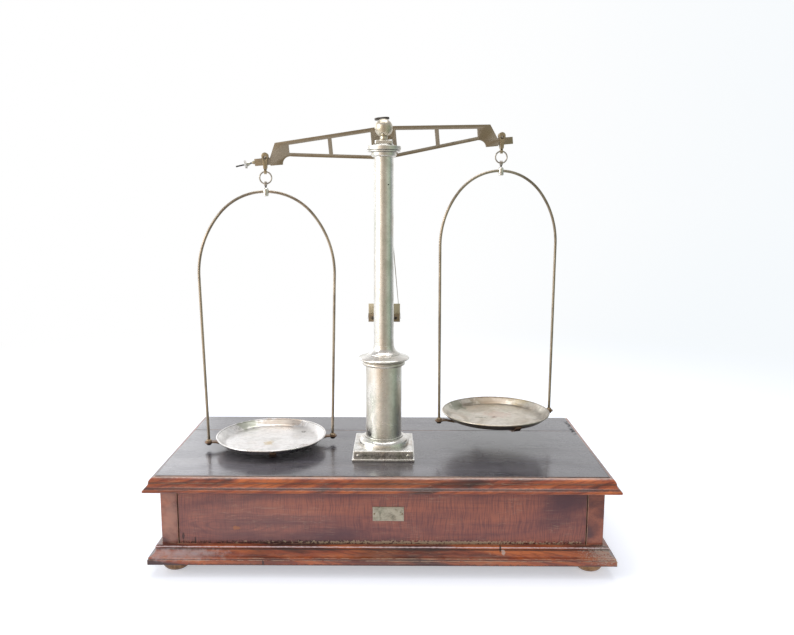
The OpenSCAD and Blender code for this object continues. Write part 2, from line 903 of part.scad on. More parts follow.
module index_plate() {
    color("#cfc3a0") difference() {
        translate([-index_w / 2, index_y, index_z]) cube([index_w, index_t, index_h]);
        index_screw_places() cylinder(d = index_screw_d, h = index_cut, center = true);
    }
}

module index_screws() {
    head_h = 1.2;
    color(dark_steel) index_screw_places() {
        translate([0, 0, -index_y - index_t]) cylinder(d = index_screw_d, h = index_t + index_block_t);
        translate([0, 0, -index_block_y]) cylinder(d = index_screw_d * 1.8, h = head_h);
    }
}

// Beam
module half_beam_outline() {
    difference() {
        polygon([[0, beam_top], [beam_flat, beam_top], [block_top_x, beam_end_top],
            [block_side_x, tongue_top], [arm_l - saddle_half, tongue_top],
            [arm_l - saddle_top_half, tongue_top + saddle_rise],
            [arm_l + saddle_top_half, tongue_top + saddle_rise], [arm_l + saddle_half, tongue_top],
            [tongue_x, tongue_top], [tongue_x, tongue_low], [block_side_x + 0.3, tongue_low],
            [block_side_x + 0.3, -block_low], [hollow_x, -block_low], [hollow_x, -beam_end_low],
            [block_x, -beam_end_low], [boss_half, -beam_low], [0, -beam_low]]);
        translate([hollow_x, -block_low]) circle(r = block_hollow_r);
        beam_opening(half_post, strut_x - strut_w / 2);
        beam_opening(strut_x + strut_w / 2, block_x);
        polygon([[-cut, window_top], [window_half, window_top],
            [window_half, rail_low(window_half) + rail_low_t], [-cut, rail_low(boss_half) + rail_low_t]]);
        end_knife_outline();
        translate([-cut, window_top - cut]) square([knife_w / 2 + cut, knife_seat + cut]);
    }
}

module beam_opening(x0, x1) {
    polygon([[x0, rail_top(x0) - rail_top_t], [x1, rail_top(x1) - rail_top_t],
        [x1, rail_low(x1) + rail_low_t], [x0, rail_low(x0) + rail_low_t]]);
}

module end_knife_outline() {
    polygon([[arm_l, 0], [arm_l + end_knife_w / 2, -end_knife_h], [arm_l - end_knife_w / 2, -end_knife_h]]);
}

module beam() {
    color(brass) at_beam() difference() {
        both() upright(beam_t) half_beam_outline();
        translate([0, 0, beam_top - pointer_stud_l]) rod(adjust_d, pointer_stud_l + cut);
        translate([0, 0, -beam_low - cut]) rod(pointer_stud_d, pointer_stud_l + cut);
        at_balance_screw() translate([0, 0, -balance_root_l]) rod(adjust_d, balance_root_l + cut);
    }
}

module centre_knife() {
    color(steel) at_beam() upright(knife_l)
        polygon([[0, 0], [knife_w / 2, window_top], [knife_w / 2, window_top + knife_seat],
            [-knife_w / 2, window_top + knife_seat], [-knife_w / 2, window_top]]);
}

module end_knives() {
    color(steel) at_beam() both() upright(end_knife_l) end_knife_outline();
}

module pointer() {
    color(steel) at_beam() translate([0, 0, -beam_low]) {
        rod(pointer_stud_d, pointer_stud_l);
        translate([0, 0, -pointer_boss_l]) rod(pointer_boss_d, pointer_boss_l);
        translate([0, 0, -pointer_l]) rod(pointer_d, pointer_l);
    }
}

module sensitivity_screw() {
    collar_h = 1.6;
    color(steel) at_beam() translate([0, 0, beam_top]) {
        translate([0, 0, -pointer_stud_l]) rod(adjust_d, pointer_stud_l);
        rod(adjust_d + 2, collar_h);
        rod(adjust_d, sense_nut_z + sense_nut_t + 0.6);
    }
}

module sensitivity_nut() {
    color(dark_steel) at_beam() translate([0, 0, beam_top + sense_nut_z])
        tube(sense_nut_d, adjust_d + 2 * swivel_play, sense_nut_t);
}

// The balance screw's axis points away from the beam, out of the left tongue
module at_balance_screw() {
    translate([-tongue_x, 0, tongue_top - tongue_h * balance_share])
        rotate([0, -90 - balance_bend, 0]) children();
}

module balance_screw() {
    collar_l = 2;
    color(dark_steel) at_beam() at_balance_screw() {
        translate([0, 0, -balance_root_l]) rod(adjust_d, balance_root_l + balance_screw_l);
        translate([0, 0, 0.4]) cylinder(d1 = adjust_d + 1.8, d2 = adjust_d + 0.6, h = collar_l);
    }
}

module balance_nut() {
    disc_t = 2.4;
    hub_l = 3.6;
    color(silver) at_beam() at_balance_screw() difference() {
        union() {
            translate([0, 0, balance_nut_x]) rod(balance_nut_d, disc_t);
            translate([0, 0, balance_nut_x - hub_l])
                cylinder(d1 = balance_nut_d * 0.42, d2 = balance_nut_d * 0.66, h = hub_l);
        }
        rod(adjust_d + 2 * swivel_play, balance_screw_l);
    }
}

// Hangers
module eye(z, hole) {
    translate([-eye_w / 2, 0, z]) rotate([0, 90, 0]) cylinder(d = hole + 2 * eye_wall, h = eye_w);
}

module eye_bore(z, hole) {
    translate([-eye_w, 0, z]) rotate([0, 90, 0]) cylinder(d = hole, h = 2 * eye_w);
}

module shackle(side) {
    foot = eye_w / 2 + 0.4;
    reach = cheek_y + cheek_t;
    at_hanger(side) difference() {
        union() {
            for (y = [-reach, cheek_y]) translate([0, y, 0]) {
                rotate([-90, 0, 0]) cylinder(r = ear_r, h = cheek_t);
                translate([0, cheek_t, 0]) rotate([90, 0, 0]) linear_extrude(cheek_t)
                    polygon([[-ear_r * 0.8, 0], [ear_r * 0.8, 0], [foot, bridge_low], [-foot, bridge_low]]);
            }
            translate([-foot, -reach, bridge_low]) cube([2 * foot, 2 * reach, bridge_top - bridge_low]);
            eye(shackle_eye_z, eye_hole);
            translate([-eye_w / 2, -stalk_half, shackle_eye_z])
                cube([eye_w, 2 * stalk_half, bridge_low - shackle_eye_z + cut]);
        }
        translate([0, 0, bearing_gap - ear_hole_d / 2]) rotate([90, 0, 0])
            cylinder(d = ear_hole_d, h = 2 * reach + 2 * cut, center = true);
        eye_bore(shackle_eye_z, eye_hole);
    }
}

module ring(side) {
    at_hanger(side) translate([0, 0, ring_z]) rotate([90, 0, 0])
        rotate_extrude() translate([ring_r, 0]) circle(d = ring_wire);
}

module swivel_eye(side) {
    stem_low = block_z - swivel_stem_sunk;
    at_hanger(side) difference() {
        union() {
            eye(swivel_eye_z, eye_hole);
            translate([0, 0, stem_low]) rod(swivel_stem_d, swivel_eye_z - eye_hole / 2 - stem_low);
            translate([0, 0, stem_low]) rod(swivel_head_d, swivel_head_h);
        }
        eye_bore(swivel_eye_z, eye_hole);
    }
}

module swivel_block(side) {
    stem_low = block_z - swivel_stem_sunk;
    at_bow(side) difference() {
        translate([0, 0, block_z - swivel_h]) rod(swivel_d, swivel_h);
        translate([0, 0, block_z - swivel_bore_deep])
            rod(swivel_stem_d + 2 * swivel_play, swivel_bore_deep + cut);
        translate([0, 0, stem_low - swivel_play])
            rod(swivel_head_d + 2 * swivel_play, swivel_head_h + 2 * swivel_play);
        bow_crown();
    }
}

// Bow: a crown arc, an arc down each side, and legs that run straight to the feet.
// Each stretch ends inside the next one, which is a hair thicker.
module wire_arc(d, r, start, sweep) {
    rotate([90, 0, 0]) rotate([0, 0, start]) rotate_extrude(angle = sweep)
        translate([r, 0]) circle(d = d);
}

module bow_crown() {
    sweep = crown_angle + wire_lap / crown_r * 180 / PI;
    translate([0, 0, crown_z]) wire_arc(bow_wire - wire_step, crown_r, 90 - sweep, 2 * sweep);
}

module bow_side(half) {
    side_r = (half - crown_r * sin(crown_angle)) / (1 - sin(crown_angle));
    cx = (crown_r - side_r) * sin(crown_angle);
    cz = crown_z + (crown_r - side_r) * cos(crown_angle);
    leg_z = strip_z + foot_upright;
    dx = bow_foot - cx;
    dz = leg_z - cz;
    gap = sqrt(dx * dx + dz * dz);
    bend = atan2(dz, dx) + acos(side_r / gap);
    tx = cx + side_r * cos(bend);
    tz = cz + side_r * sin(bend);
    lean = atan2(bow_foot - tx, leg_z - tz);
    leg = sqrt((bow_foot - tx) * (bow_foot - tx) + (leg_z - tz) * (leg_z - tz));
    foot_l = foot_upright + long_strip_t + bow_nut_h + foot_proud;
    translate([cx, 0, cz]) wire_arc(bow_wire, side_r, bend, 90 - crown_angle - bend);
    translate([tx, 0, tz]) rotate([0, lean, 0])
        translate([0, 0, -wire_lap]) rod(bow_wire - wire_step, leg + 2 * wire_lap);
    translate([bow_foot, 0, leg_z - foot_l]) rod(bow_wire, foot_l);
}

module bow(side) {
    at_bow(side) {
        bow_crown();
        both() bow_side(belly(side));
    }
}

module bow_nuts(side) {
    at_bow(side) both() translate([bow_foot, 0, 0]) {
        translate([0, 0, strip_z]) tube(bow_nut_d, bow_wire, bow_nut_h);
        translate([0, 0, strip_z - long_strip_t - bow_nut_h]) tube(bow_low_nut_d, bow_wire, bow_nut_h);
    }
}

module long_strip(side) {
    low_x = pan_floor_r + 1.5;
    high_x = bow_foot - strip_eye_r - 2.4;
    at_bow(side) difference() {
        union() {
            both() upright(strip_w) polygon([[0, pan_z], [low_x, pan_z], [high_x, strip_z], [bow_foot, strip_z],
                [bow_foot, strip_z - long_strip_t], [high_x + 0.3, strip_z - long_strip_t],
                [low_x + 0.3, cross_z], [0, cross_z]]);
            both() translate([bow_foot, 0, strip_z - long_strip_t])
                cylinder(r = strip_eye_r, h = long_strip_t);
        }
        both() translate([bow_foot, 0, strip_z - long_strip_t - cut]) rod(bow_wire, long_strip_t + 2 * cut);
        translate([0, 0, cross_z - cut]) rod(rivet_d, long_strip_t + 2 * cut);
    }
}

module cross_strip(side) {
    bend_x = pan_floor_r - 1;
    end_x = pan_r - 2.1;
    low = cross_z - cross_strip_t;
    at_bow(side) {
        rotate([0, 0, 90]) both() upright(strip_w)
            polygon([[0, cross_z], [bend_x, cross_z], [bend_x + 4.8, cross_z + 1.7],
                [end_x, cross_z + 6.2], [end_x + 0.7, cross_z + 5.3], [bend_x + 5.6, cross_z + 0.7],
                [bend_x + 0.6, low], [0, low]]);
        translate([0, 0, low]) rod(rivet_d, pan_z - low);
        translate([0, 0, low - rivet_head_h]) rod(rivet_head_d, rivet_head_h);
    }
}

// Pan: a flat floor, a rounded corner, a sloping wall and a rolled rim
module pan(side) {
    inner = 6;
    outer = inner + pan_t;
    rim_r = pan_t / 2 + 0.45;
    cx = pan_floor_r;
    rim = [pan_r - rim_r, pan_h - rim_r];
    at_bow(side) translate([0, 0, pan_z]) rotate_extrude() {
        square([pan_floor_r, pan_t]);
        intersection() {
            difference() {
                translate([cx, outer]) circle(r = outer);
                translate([cx, outer]) circle(r = inner);
            }
            polygon([[cx, outer], [cx, -cut], [cx + tan(pan_slope + 1) * (outer + cut), -cut]]);
        }
        polygon([[cx + outer * sin(pan_slope), outer - outer * cos(pan_slope)],
            [rim[0] + 0.3, rim[1] - 0.3], [rim[0] - 0.4, rim[1] + 0.3],
            [cx + inner * sin(pan_slope), outer - inner * cos(pan_slope)]]);
        translate(rim) circle(r = rim_r);
    }
}

top_board_front();
top_board_rear();
top_mouldings_long();
top_mouldings_end();
front_panel();
back_panel();
left_side();
right_side();
bottom_board();
base_mouldings_long();
base_mouldings_end();
glue_blocks();
top_battens();
feet();
nameplate();
nameplate_pins();
plinth();
plinth_pins();
pedestal();
cornice();
column_tube();
capital();
cap_dome();
bearing_arm();
bearing_plate();
ball_finial();
tie_rod();
rod_washer();
rod_nut();
index_bracket();
index_block();
index_plate();
index_screws();
beam();
centre_knife();
end_knives();
pointer();
sensitivity_screw();
sensitivity_nut();
balance_screw();
balance_nut();
color(silver) shackle(LEFT);  // shackle_left
color(silver) shackle(RIGHT);  // shackle_right
color(steel) ring(LEFT);  // ring_left
color(steel) ring(RIGHT);  // ring_right
color(steel) swivel_eye(LEFT);  // swivel_eye_left
color(steel) swivel_eye(RIGHT);  // swivel_eye_right
color(silver) swivel_block(LEFT);  // swivel_block_left
color(silver) swivel_block(RIGHT);  // swivel_block_right
color(brass) bow(LEFT);  // bow_left
color(brass) bow(RIGHT);  // bow_right
color(brass) bow_nuts(LEFT);  // bow_nuts_left
color(brass) bow_nuts(RIGHT);  // bow_nuts_right
color(brass) long_strip(LEFT);  // long_strip_left
color(brass) long_strip(RIGHT);  // long_strip_right
color(brass) cross_strip(LEFT);  // cross_strip_left
color(brass) cross_strip(RIGHT);  // cross_strip_right
color(silver) pan(LEFT);  // pan_left
color(silver) pan(RIGHT);  // pan_right
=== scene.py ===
"""Looks of an equal-arm column balance: wooden case, plated column, brass beam and two hanging pans.

Every mesh is worked in millimetres in the frame's own axes and scaled to metres as it is finished.
"""

import json
import logging
import math
from dataclasses import dataclass, field, replace
from enum import Enum
from typing import Callable, Iterable, Sequence

import bmesh
import bpy
from mathutils import Matrix, Vector, noise


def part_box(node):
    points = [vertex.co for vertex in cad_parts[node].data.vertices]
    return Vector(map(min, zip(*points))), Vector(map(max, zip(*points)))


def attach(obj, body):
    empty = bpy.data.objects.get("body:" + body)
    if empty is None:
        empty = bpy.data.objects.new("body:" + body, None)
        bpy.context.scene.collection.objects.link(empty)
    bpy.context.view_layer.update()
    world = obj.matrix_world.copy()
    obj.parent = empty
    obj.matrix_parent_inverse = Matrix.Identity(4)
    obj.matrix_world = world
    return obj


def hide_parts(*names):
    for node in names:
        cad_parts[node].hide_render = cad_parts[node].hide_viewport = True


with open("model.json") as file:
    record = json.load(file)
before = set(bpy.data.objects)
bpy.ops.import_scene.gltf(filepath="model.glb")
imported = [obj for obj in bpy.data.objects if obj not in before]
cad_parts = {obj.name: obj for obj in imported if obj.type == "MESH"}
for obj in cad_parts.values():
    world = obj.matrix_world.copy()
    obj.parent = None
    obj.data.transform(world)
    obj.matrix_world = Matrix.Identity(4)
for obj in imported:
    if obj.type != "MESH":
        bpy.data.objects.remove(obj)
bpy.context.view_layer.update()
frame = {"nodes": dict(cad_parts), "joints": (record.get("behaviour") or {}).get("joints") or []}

LOG = logging.getLogger("balance")
MM = 0.001
BLUNT = math.radians(155)
CORNER_SHARE = 0.45
CORNER_STEPS = 3
SHARP = math.radians(32)
NEARLY_FLAT = math.radians(0.6)
MERGE = 0.002
FULL_WEAR = 0.5
LEAST_WEAR = 0.05
WEAR_REACH = 0.9 * MM
WEAR_ROUNDS = 3
WOOD_RELIEF = 0.00006
POLISH_RELIEF = 0.00008
PLAIN_RELIEF = 0.00001

BMesh = bmesh.types.BMesh
Node = bpy.types.Node
Place = Matrix
Point = tuple[float, float]
Socket = bpy.types.NodeSocket
Outputs = bpy.types.NodeOutputs
Fill = Callable[["Graph", dict[str, Socket]], dict[str, Socket]]


# Places


class Side(Enum):
    """The two ends of the beam, by their sign along X."""

    LEFT = -1
    RIGHT = 1

    def __str__(self) -> str:
        """The ending of the names at this end."""
        return self.name.lower()


def joint_place(name: str) -> Vector:
    """The point that a joint turns about, in millimetres."""
    return Vector(next(j for j in frame["joints"] if j["name"] == name)["pos_m"]) / MM


def corners(node: str) -> tuple[Vector, Vector]:
    """The lowest and highest corner of a CAD node, in millimetres."""
    low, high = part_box(node)
    return low / MM, high / MM


def shift(x: float = 0.0, y: float = 0.0, z: float = 0.0) -> Place:
    """A place moved from the origin, in millimetres."""
    return Matrix.Translation((x, y, z))


def turn(degrees: float, axis: str) -> Place:
    """A turn about an axis through the origin."""
    return Matrix.Rotation(math.radians(degrees), 4, axis)


def arc(cx: float, cy: float, radius: float, start: float, end: float, steps: int) -> list[Point]:
    """Points along an arc about (cx, cy), from one angle to another in degrees, steps + 1 of them."""
    angles = [math.radians(start + (end - start) * i / steps) for i in range(steps + 1)]
    return [(cx + radius * math.cos(a), cy + radius * math.sin(a)) for a in angles]


def softened(points: Sequence[Point], radius: float) -> list[Point]:
    """Rounds the sharp corners of an open profile.

    Args:
        points: The profile's corners.
        radius: Rounding radius; corners with less room get less.

    Returns:
        The profile with each sharp corner turned into a short curve.
    """
    out = [points[0]]
    for before, here, after in zip(points, points[1:], points[2:]):
        middle = Vector(here)
        a, b = Vector(before) - middle, Vector(after) - middle
        if min(a.length, b.length) < 1e-6 or a.angle(b) > BLUNT:
            out.append(here)
            continue
        cut = min(radius, a.length * CORNER_SHARE, b.length * CORNER_SHARE)
        first, last = middle + a.normalized() * cut, middle + b.normalized() * cut
        for t in (i / CORNER_STEPS for i in range(CORNER_STEPS + 1)):
            out.append(tuple(first * (1 - t) ** 2 + middle * 2 * t * (1 - t) + last * t * t))
    return out + [points[-1]]


def held(points: Sequence[Point], margin: float) -> list[Point]:
    """Adds a point near both ends of each long stretch, so that wear stays near its corners.

    Args:
        points: The profile's corners.
        margin: Distance of the added points from the corners.

    Returns:
        The profile with the points added.
    """
    out = [points[0]]
    for a, b in zip(points, points[1:]):
        span = Vector(b) - Vector(a)
        if span.length > 3 * margin:
            share = margin / span.length
            out += [tuple(Vector(a) + span * part) for part in (share, 1 - share)]
        out.append(b)
    return out


# The workbench


def rounded(part: BMesh, edges: Iterable[bmesh.types.BMEdge], width: float, segments: int = 3) -> None:
    """Rounds edges of a shape."""
    bmesh.ops.bevel(part, geom=list(edges), offset=width, offset_type="OFFSET", segments=segments,
                    profile=0.5, affect="EDGES", clamp_overlap=True, material=-1)


def made_of(kind: type, geometry: Iterable[object]) -> list:
    """What is of one kind in the geometry that an operator made."""
    return [item for item in geometry if isinstance(item, kind)]


class Work:
    """A piece in the making: one bmesh in millimetres. Its shaping methods give the bench back."""

    def __init__(self) -> None:
        """Starts with an empty bench."""
        self.bm = bmesh.new()

    def take(self, part: BMesh, place: Place) -> "Work":
        """Puts a shape made by itself at its place on the bench, and uses it up.

        Args:
            part: The shape.
            place: Its place.

        Returns:
            The bench.
        """
        bmesh.ops.recalc_face_normals(part, faces=part.faces[:])
        bmesh.ops.transform(part, matrix=place, verts=part.verts[:])
        spare = bpy.data.meshes.new("spare")
        part.to_mesh(spare)
        part.free()
        self.bm.from_mesh(spare)
        bpy.data.meshes.remove(spare)
        return self

    def lathe(self, profile: Sequence[Point], place: Place = Matrix(), steps: int = 96, closed: bool = False,
              margin: float = 0.8) -> "Work":
        """Turns a profile about the vertical axis.

        Args:
            profile: (radius, height) points, from one pole or edge to the other.
            place: Where the turned shape goes.
            steps: Number of facets round the axis.
            closed: Whether the profile runs back to its start, as for a ring or a tube.
            margin: Distance of the holding loops from each corner.

        Returns:
            The bench.
        """
        points = held([*profile, profile[0]], margin)[:-1] if closed else held(profile, margin)
        part = bmesh.new()
        verts = [part.verts.new((r, 0.0, z)) for r, z in points]
        edges = [part.edges.new(pair) for pair in zip(verts, verts[1:] + (verts[:1] if closed else []))]
        bmesh.ops.spin(part, geom=verts + edges, cent=(0, 0, 0), axis=(0, 0, 1), angle=2 * math.pi,
                       steps=steps, use_merge=True, dvec=(0, 0, 0))
        bmesh.ops.remove_doubles(part, verts=part.verts[:], dist=1e-4)
        return self.take(part, place)

    def board(self, low: Sequence[float], high: Sequence[float], soft: float = 0.5, margin: float = 1.2,
              place: Place = Matrix()) -> "Work":
        """A box with rounded edges and a holding loop inside each face.

        Args:
            low: Lowest corner.
            high: Highest corner.
            soft: Width of the rounded edge.
            margin: Distance of the holding loop from the rounded edge.
            place: Where the board goes.

        Returns:
            The bench.
        """
        low, high = Vector(low), Vector(high)
        size = high - low
        part = bmesh.new()
        bmesh.ops.create_cube(part, size=1.0, matrix=shift(*(high + low) / 2) @ Matrix.Diagonal((*size, 1)))
        rounded(part, part.edges[:], min(soft, min(size) * 0.3))
        flat = sorted(part.faces, key=lambda f: f.calc_area())[-6:]
        bmesh.ops.inset_individual(part, faces=flat, thickness=min(margin, min(size) * 0.2), depth=0.0,
                                   use_even_offset=True)
        return self.take(part, place)

    def prism(self, outline: Sequence[Point], low: float, high: float, place: Place = Matrix(),
              soft: float = 0.0) -> "Work":
        """A flat outline in the XY plane, raised from one height to another.

        Args:
            outline: The corners in order.
            low: Height of the lower face.
            high: Height of the upper face.
            place: Where the prism goes.
            soft: Width of the cut along both faces' edges.

        Returns:
            The bench.
        """
        part = bmesh.new()
        face = part.faces.new([part.verts.new((x, y, low)) for x, y in outline])
        raised = bmesh.ops.extrude_face_region(part, geom=[face])["geom"]
        bmesh.ops.translate(part, verts=made_of(bmesh.types.BMVert, raised), vec=(0, 0, high - low))
        bmesh.ops.recalc_face_normals(part, faces=part.faces[:])
        if soft:
            rounded(part, {e for f in part.faces if abs(f.normal.z) > 0.9 for e in f.edges}, soft, 1)
        return self.take(part, place)

    def copy_of(self, node: str, soft: float, segments: int = 2) -> "Work":
        """A merged copy of a CAD node with whole flat faces, and with every sharp edge rounded.

        Args:
            node: The CAD node.
            soft: Width of the rounding.
            segments: Segments of the rounding.

        Returns:
            The bench.
        """
        part = bmesh.new()
        part.from_mesh(frame["nodes"][node].data)
        bmesh.ops.scale(part, vec=(1 / MM,) * 3, verts=part.verts[:])
        bmesh.ops.remove_doubles(part, verts=part.verts[:], dist=MERGE)
        bmesh.ops.dissolve_limit(part, angle_limit=NEARLY_FLAT, use_dissolve_boundaries=False,
                                 verts=part.verts[:], edges=part.edges[:], delimit={"NORMAL"})
        sharp = [e for e in part.edges if e.is_manifold and e.calc_face_angle(0.0) > SHARP]
        rounded(part, sharp, soft, segments)
        return self.take(part, Matrix())

    def wire(self, start: Sequence[float], radius: float, moves: Iterable[tuple], sides: int = 20,
             cap: float = 0.35) -> "Work":
        """A round wire that starts upwards and runs through straight and curved stretches.

        Args:
            start: Centre of the wire's first end.
            radius: Radius of the wire.
            moves: (vector,) for a straight stretch or (centre, degrees, steps) for an arc about Y, in order.
            sides: Number of facets round the wire.
            cap: Width of the rounding at both ends.

        Returns:
            The bench.
        """
        part = bmesh.new()
        bmesh.ops.create_circle(part, cap_ends=False, segments=sides, radius=radius, matrix=shift(*start))
        loop = part.edges[:]
        ends = [loop]
        for where, *how in moves:
            if how:
                made = bmesh.ops.spin(part, geom=loop, cent=where, axis=(0, 1, 0), angle=math.radians(how[0]),
                                      steps=how[1], use_merge=False, dvec=(0, 0, 0))["geom_last"]
            else:
                made = bmesh.ops.extrude_edge_only(part, edges=loop)["geom"]
                bmesh.ops.translate(part, verts=made_of(bmesh.types.BMVert, made), vec=where)
            loop = made_of(bmesh.types.BMEdge, made)
            loop = [e for e in loop if len(e.link_faces) == 1] or loop
        ends.append(loop)
        lids = [f for rim in ends for f in bmesh.ops.edgeloop_fill(part, edges=rim)["faces"]]
        bmesh.ops.recalc_face_normals(part, faces=part.faces[:])
        rounded(part, {e for f in lids for e in f.edges}, cap)
        return self.take(part, Matrix())

    def place(self, matrix: Place) -> "Work":
        """Moves everything on the bench."""
        bmesh.ops.transform(self.bm, matrix=matrix, verts=self.bm.verts[:])
        return self

    def spread(self, layer: bmesh.types.BMLayerItem) -> None:
        """Lets a layer's values fade out over a short distance, here in metres, and not end at once.

        Args:
            layer: The layer of values at the vertices.
        """
        fresh = [v for v in self.bm.verts if v[layer] > LEAST_WEAR]
        for _ in range(WEAR_ROUNDS):
            reached = set()
            for vert in fresh:
                for edge in vert.link_edges:
                    other = edge.other_vert(vert)
                    value = vert[layer] - edge.calc_length() / WEAR_REACH
                    if value > other[layer]:
                        other[layer] = value
                        reached.add(other)
            fresh = list(reached)

    def piece(self, name: str, finish: "Finish", *nodes: str, body: str = "case", slot: str = "",
              smooth: float = 34.0) -> None:
        """Turns the bench's work into a finished piece of the balance.

        Args:
            name: The piece's name.
            finish: The finish that it gets.
            *nodes: The CAD nodes that it stands for.
            body: The CAD body that it rides on.
            slot: The record's material slot, where it isn't the finish's own; not used.
            smooth: Angle in degrees up to which faces are shaded as one.
        """
        bm = self.bm
        bmesh.ops.scale(bm, vec=(MM,) * 3, verts=bm.verts)
        layers = [bm.verts.layers.float.new(kind) for kind in ("edge", "crease")]
        for vert in bm.verts:
            angles = [e.calc_face_angle_signed(0.0) for e in vert.link_edges if e.is_manifold]
            for layer, sharp in zip(layers, (max(angles, default=0.0), -min(angles, default=0.0))):
                vert[layer] = min(1.0, max(0.0, sharp) / FULL_WEAR)
        for layer in layers:
            self.spread(layer)
        mesh = bpy.data.meshes.new(name)
        bm.to_mesh(mesh)
        bm.free()
        mesh.shade_smooth()
        mesh.set_sharp_from_angle(angle=math.radians(smooth))
        mesh.materials.append(finish.material())
        obj = placed(name, mesh)
        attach(obj, body)
        if nodes:
            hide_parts(*nodes)
        LOG.info("%s: %d faces on %s", name, len(mesh.polygons), body)


def placed(name: str, data: bpy.types.ID) -> bpy.types.Object:
    """Puts a new object into the scene."""
    obj = bpy.data.objects.new(name, data)
    bpy.context.scene.collection.objects.link(obj)
    return obj


# Colours and nodes


def colour(code: str) -> tuple[float, float, float, float]:
    """A screen colour such as "8d8066" as the linear colour that a shader wants."""
    parts = [int(code[i:i + 2], 16) / 255 for i in (0, 2, 4)]
    linear = [c / 12.92 if c <= 0.04045 else ((c + 0.055) / 1.055) ** 2.4 for c in parts]
    return (*linear, 1.0)


class Graph:
    """Short calls that make nodes in a tree and join them."""

    def __init__(self, tree: bpy.types.NodeTree) -> None:
        """Works on one node tree."""
        self.tree = tree

    @classmethod
    def of(cls, block: bpy.types.Material | bpy.types.World) -> "Graph":
        """The emptied node tree of a material or a world."""
        block.use_nodes = True
        block.node_tree.nodes.clear()
        return cls(block.node_tree)

    def feed(self, socket: Socket, value: object) -> None:
        """Joins a socket to another one, or gives it a plain value.

        Args:
            socket: The input.
            value: Another node's output, or a value.
        """
        if isinstance(value, Socket):
            self.tree.links.new(value, socket)
        else:
            socket.default_value = value

    def add(self, kind: str, settings: dict[str, object] | None = None, *values: object,
            **sockets: object) -> Node:
        """Makes a node.

        Args:
            kind: The node's type, without its first word.
            settings: Its own options.
            *values: What its first inputs get, in order.
            **sockets: What other inputs get, by the input's name with _ for a space.

        Returns:
            The node.
        """
        node = self.tree.nodes.new(kind if kind.startswith("Node") else "ShaderNode" + kind)
        for name, value in (settings or {}).items():
            setattr(node, name, value)
        for socket, value in zip(node.inputs, values):
            self.feed(socket, value)
        for name, value in sockets.items():
            self.feed(node.inputs[name.replace("_", " ")], value)
        return node

    def math(self, operation: str, *values: object, clamp: bool = False) -> Socket:
        """The result of a Math node."""
        return self.add("Math", {"operation": operation, "use_clamp": clamp}, *values).outputs[0]

    def times(self, *values: object) -> Socket:
        """The product of two or more values."""
        product = values[0]
        for value in values[1:]:
            product = self.math("MULTIPLY", product, value)
        return product

    def plus(self, first: object, second: object, clamp: bool = False) -> Socket:
        """The sum of two values, kept between 0 and 1 if clamped."""
        return self.math("ADD", first, second, clamp=clamp)

    def minus(self, first: object, second: object) -> Socket:
        """The first value less the second."""
        return self.math("SUBTRACT", first, second)

    def rest(self, value: object) -> Socket:
        """What the value leaves of 1."""
        return self.minus(1.0, value)

    def most(self, first: object, second: object) -> Socket:
        """The larger of two values."""
        return self.math("MAXIMUM", first, second)

    def vector(self, operation: str, *values: object) -> Socket:
        """The result of a Vector Math node."""
        made = self.add("VectorMath", {"operation": operation}, *values).outputs
        return made["Value" if operation == "LENGTH" else "Vector"]

    def stretch(self, vector: Socket, by: object) -> Socket:
        """A vector times another, part by part."""
        return self.vector("MULTIPLY", vector, by)

    def mix(self, factor: object, first: object, second: object) -> Socket:
        """A mix of two colours.

        Args:
            factor: 0 for the first colour, 1 for the second.
            first: A colour.
            second: Another colour.

        Returns:
            The mixed colour.
        """
        node = self.add("Mix", {"data_type": "RGBA"}, factor)
        self.feed(node.inputs[6], first)
        self.feed(node.inputs[7], second)
        return node.outputs[2]

    def paint(self, base: Socket, *layers: tuple[Socket, float, str]) -> Socket:
        """Tints over a colour in turn, each with its mask and its strength."""
        for mask, strength, tint in layers:
            base = self.mix(self.times(mask, strength), base, colour(tint))
        return base

    def blur(self, vector: Socket, scale: object, detail: float = 4.0, rough: float = 0.55,
             twist: float = 0.0) -> Socket:
        """Noise from 0 to 1."""
        return self.add("TexNoise", None, Vector=vector, Scale=scale, Detail=detail, Roughness=rough,
                        Distortion=twist).outputs["Fac"]

    def step(self, value: object, low: object, high: object) -> Socket:
        """0 below low, 1 over high, and a smooth rise between them."""
        return self.add("MapRange", {"interpolation_type": "SMOOTHSTEP"}, Value=value, From_Min=low,
                        From_Max=high).outputs[0]

    def band(self, value: object, *edges: float) -> Socket:
        """1 inside a band that rises over its first two edges and falls over its last two."""
        return self.times(self.step(value, *edges[:2]), self.rest(self.step(value, *edges[2:])))

    def blend(self, value: object, low: float, high: float) -> Socket:
        """low where the value is 0, high where it is 1."""
        return self.plus(self.times(value, high - low), low)

    def ramp(self, factor: Socket, stops: Sequence[tuple[float, str]]) -> Socket:
        """A colour from a ramp of (place, colour) stops.

        Args:
            factor: A value from 0 to 1.
            stops: The stops, in order.

        Returns:
            The colour.
        """
        node = self.add("ValToRGB", None, factor)
        elements = node.color_ramp.elements
        while len(elements) < len(stops):
            elements.new(0.5)
        for element, (place, tint) in zip(elements, stops):
            element.position, element.color = place, colour(tint)
        return node.outputs["Color"]

    def here(self, moved: Sequence[float] = (0, 0, 0)) -> Socket:
        """Object coordinates, in metres, moved."""
        return self.mapped(self.add("TexCoord").outputs["Object"], Location=moved)

    def mapped(self, vector: Socket, turned: Sequence[float] = (0, 0, 0), **sockets: object) -> Socket:
        """A vector turned by degrees, and moved or scaled."""
        return self.add("Mapping", None, Vector=vector, Rotation=tuple(math.radians(a) for a in turned),
                        **sockets).outputs[0]

    def joined(self, **parts: object) -> Socket:
        """A vector from its X, Y and Z."""
        return self.add("CombineXYZ", None, **parts).outputs[0]

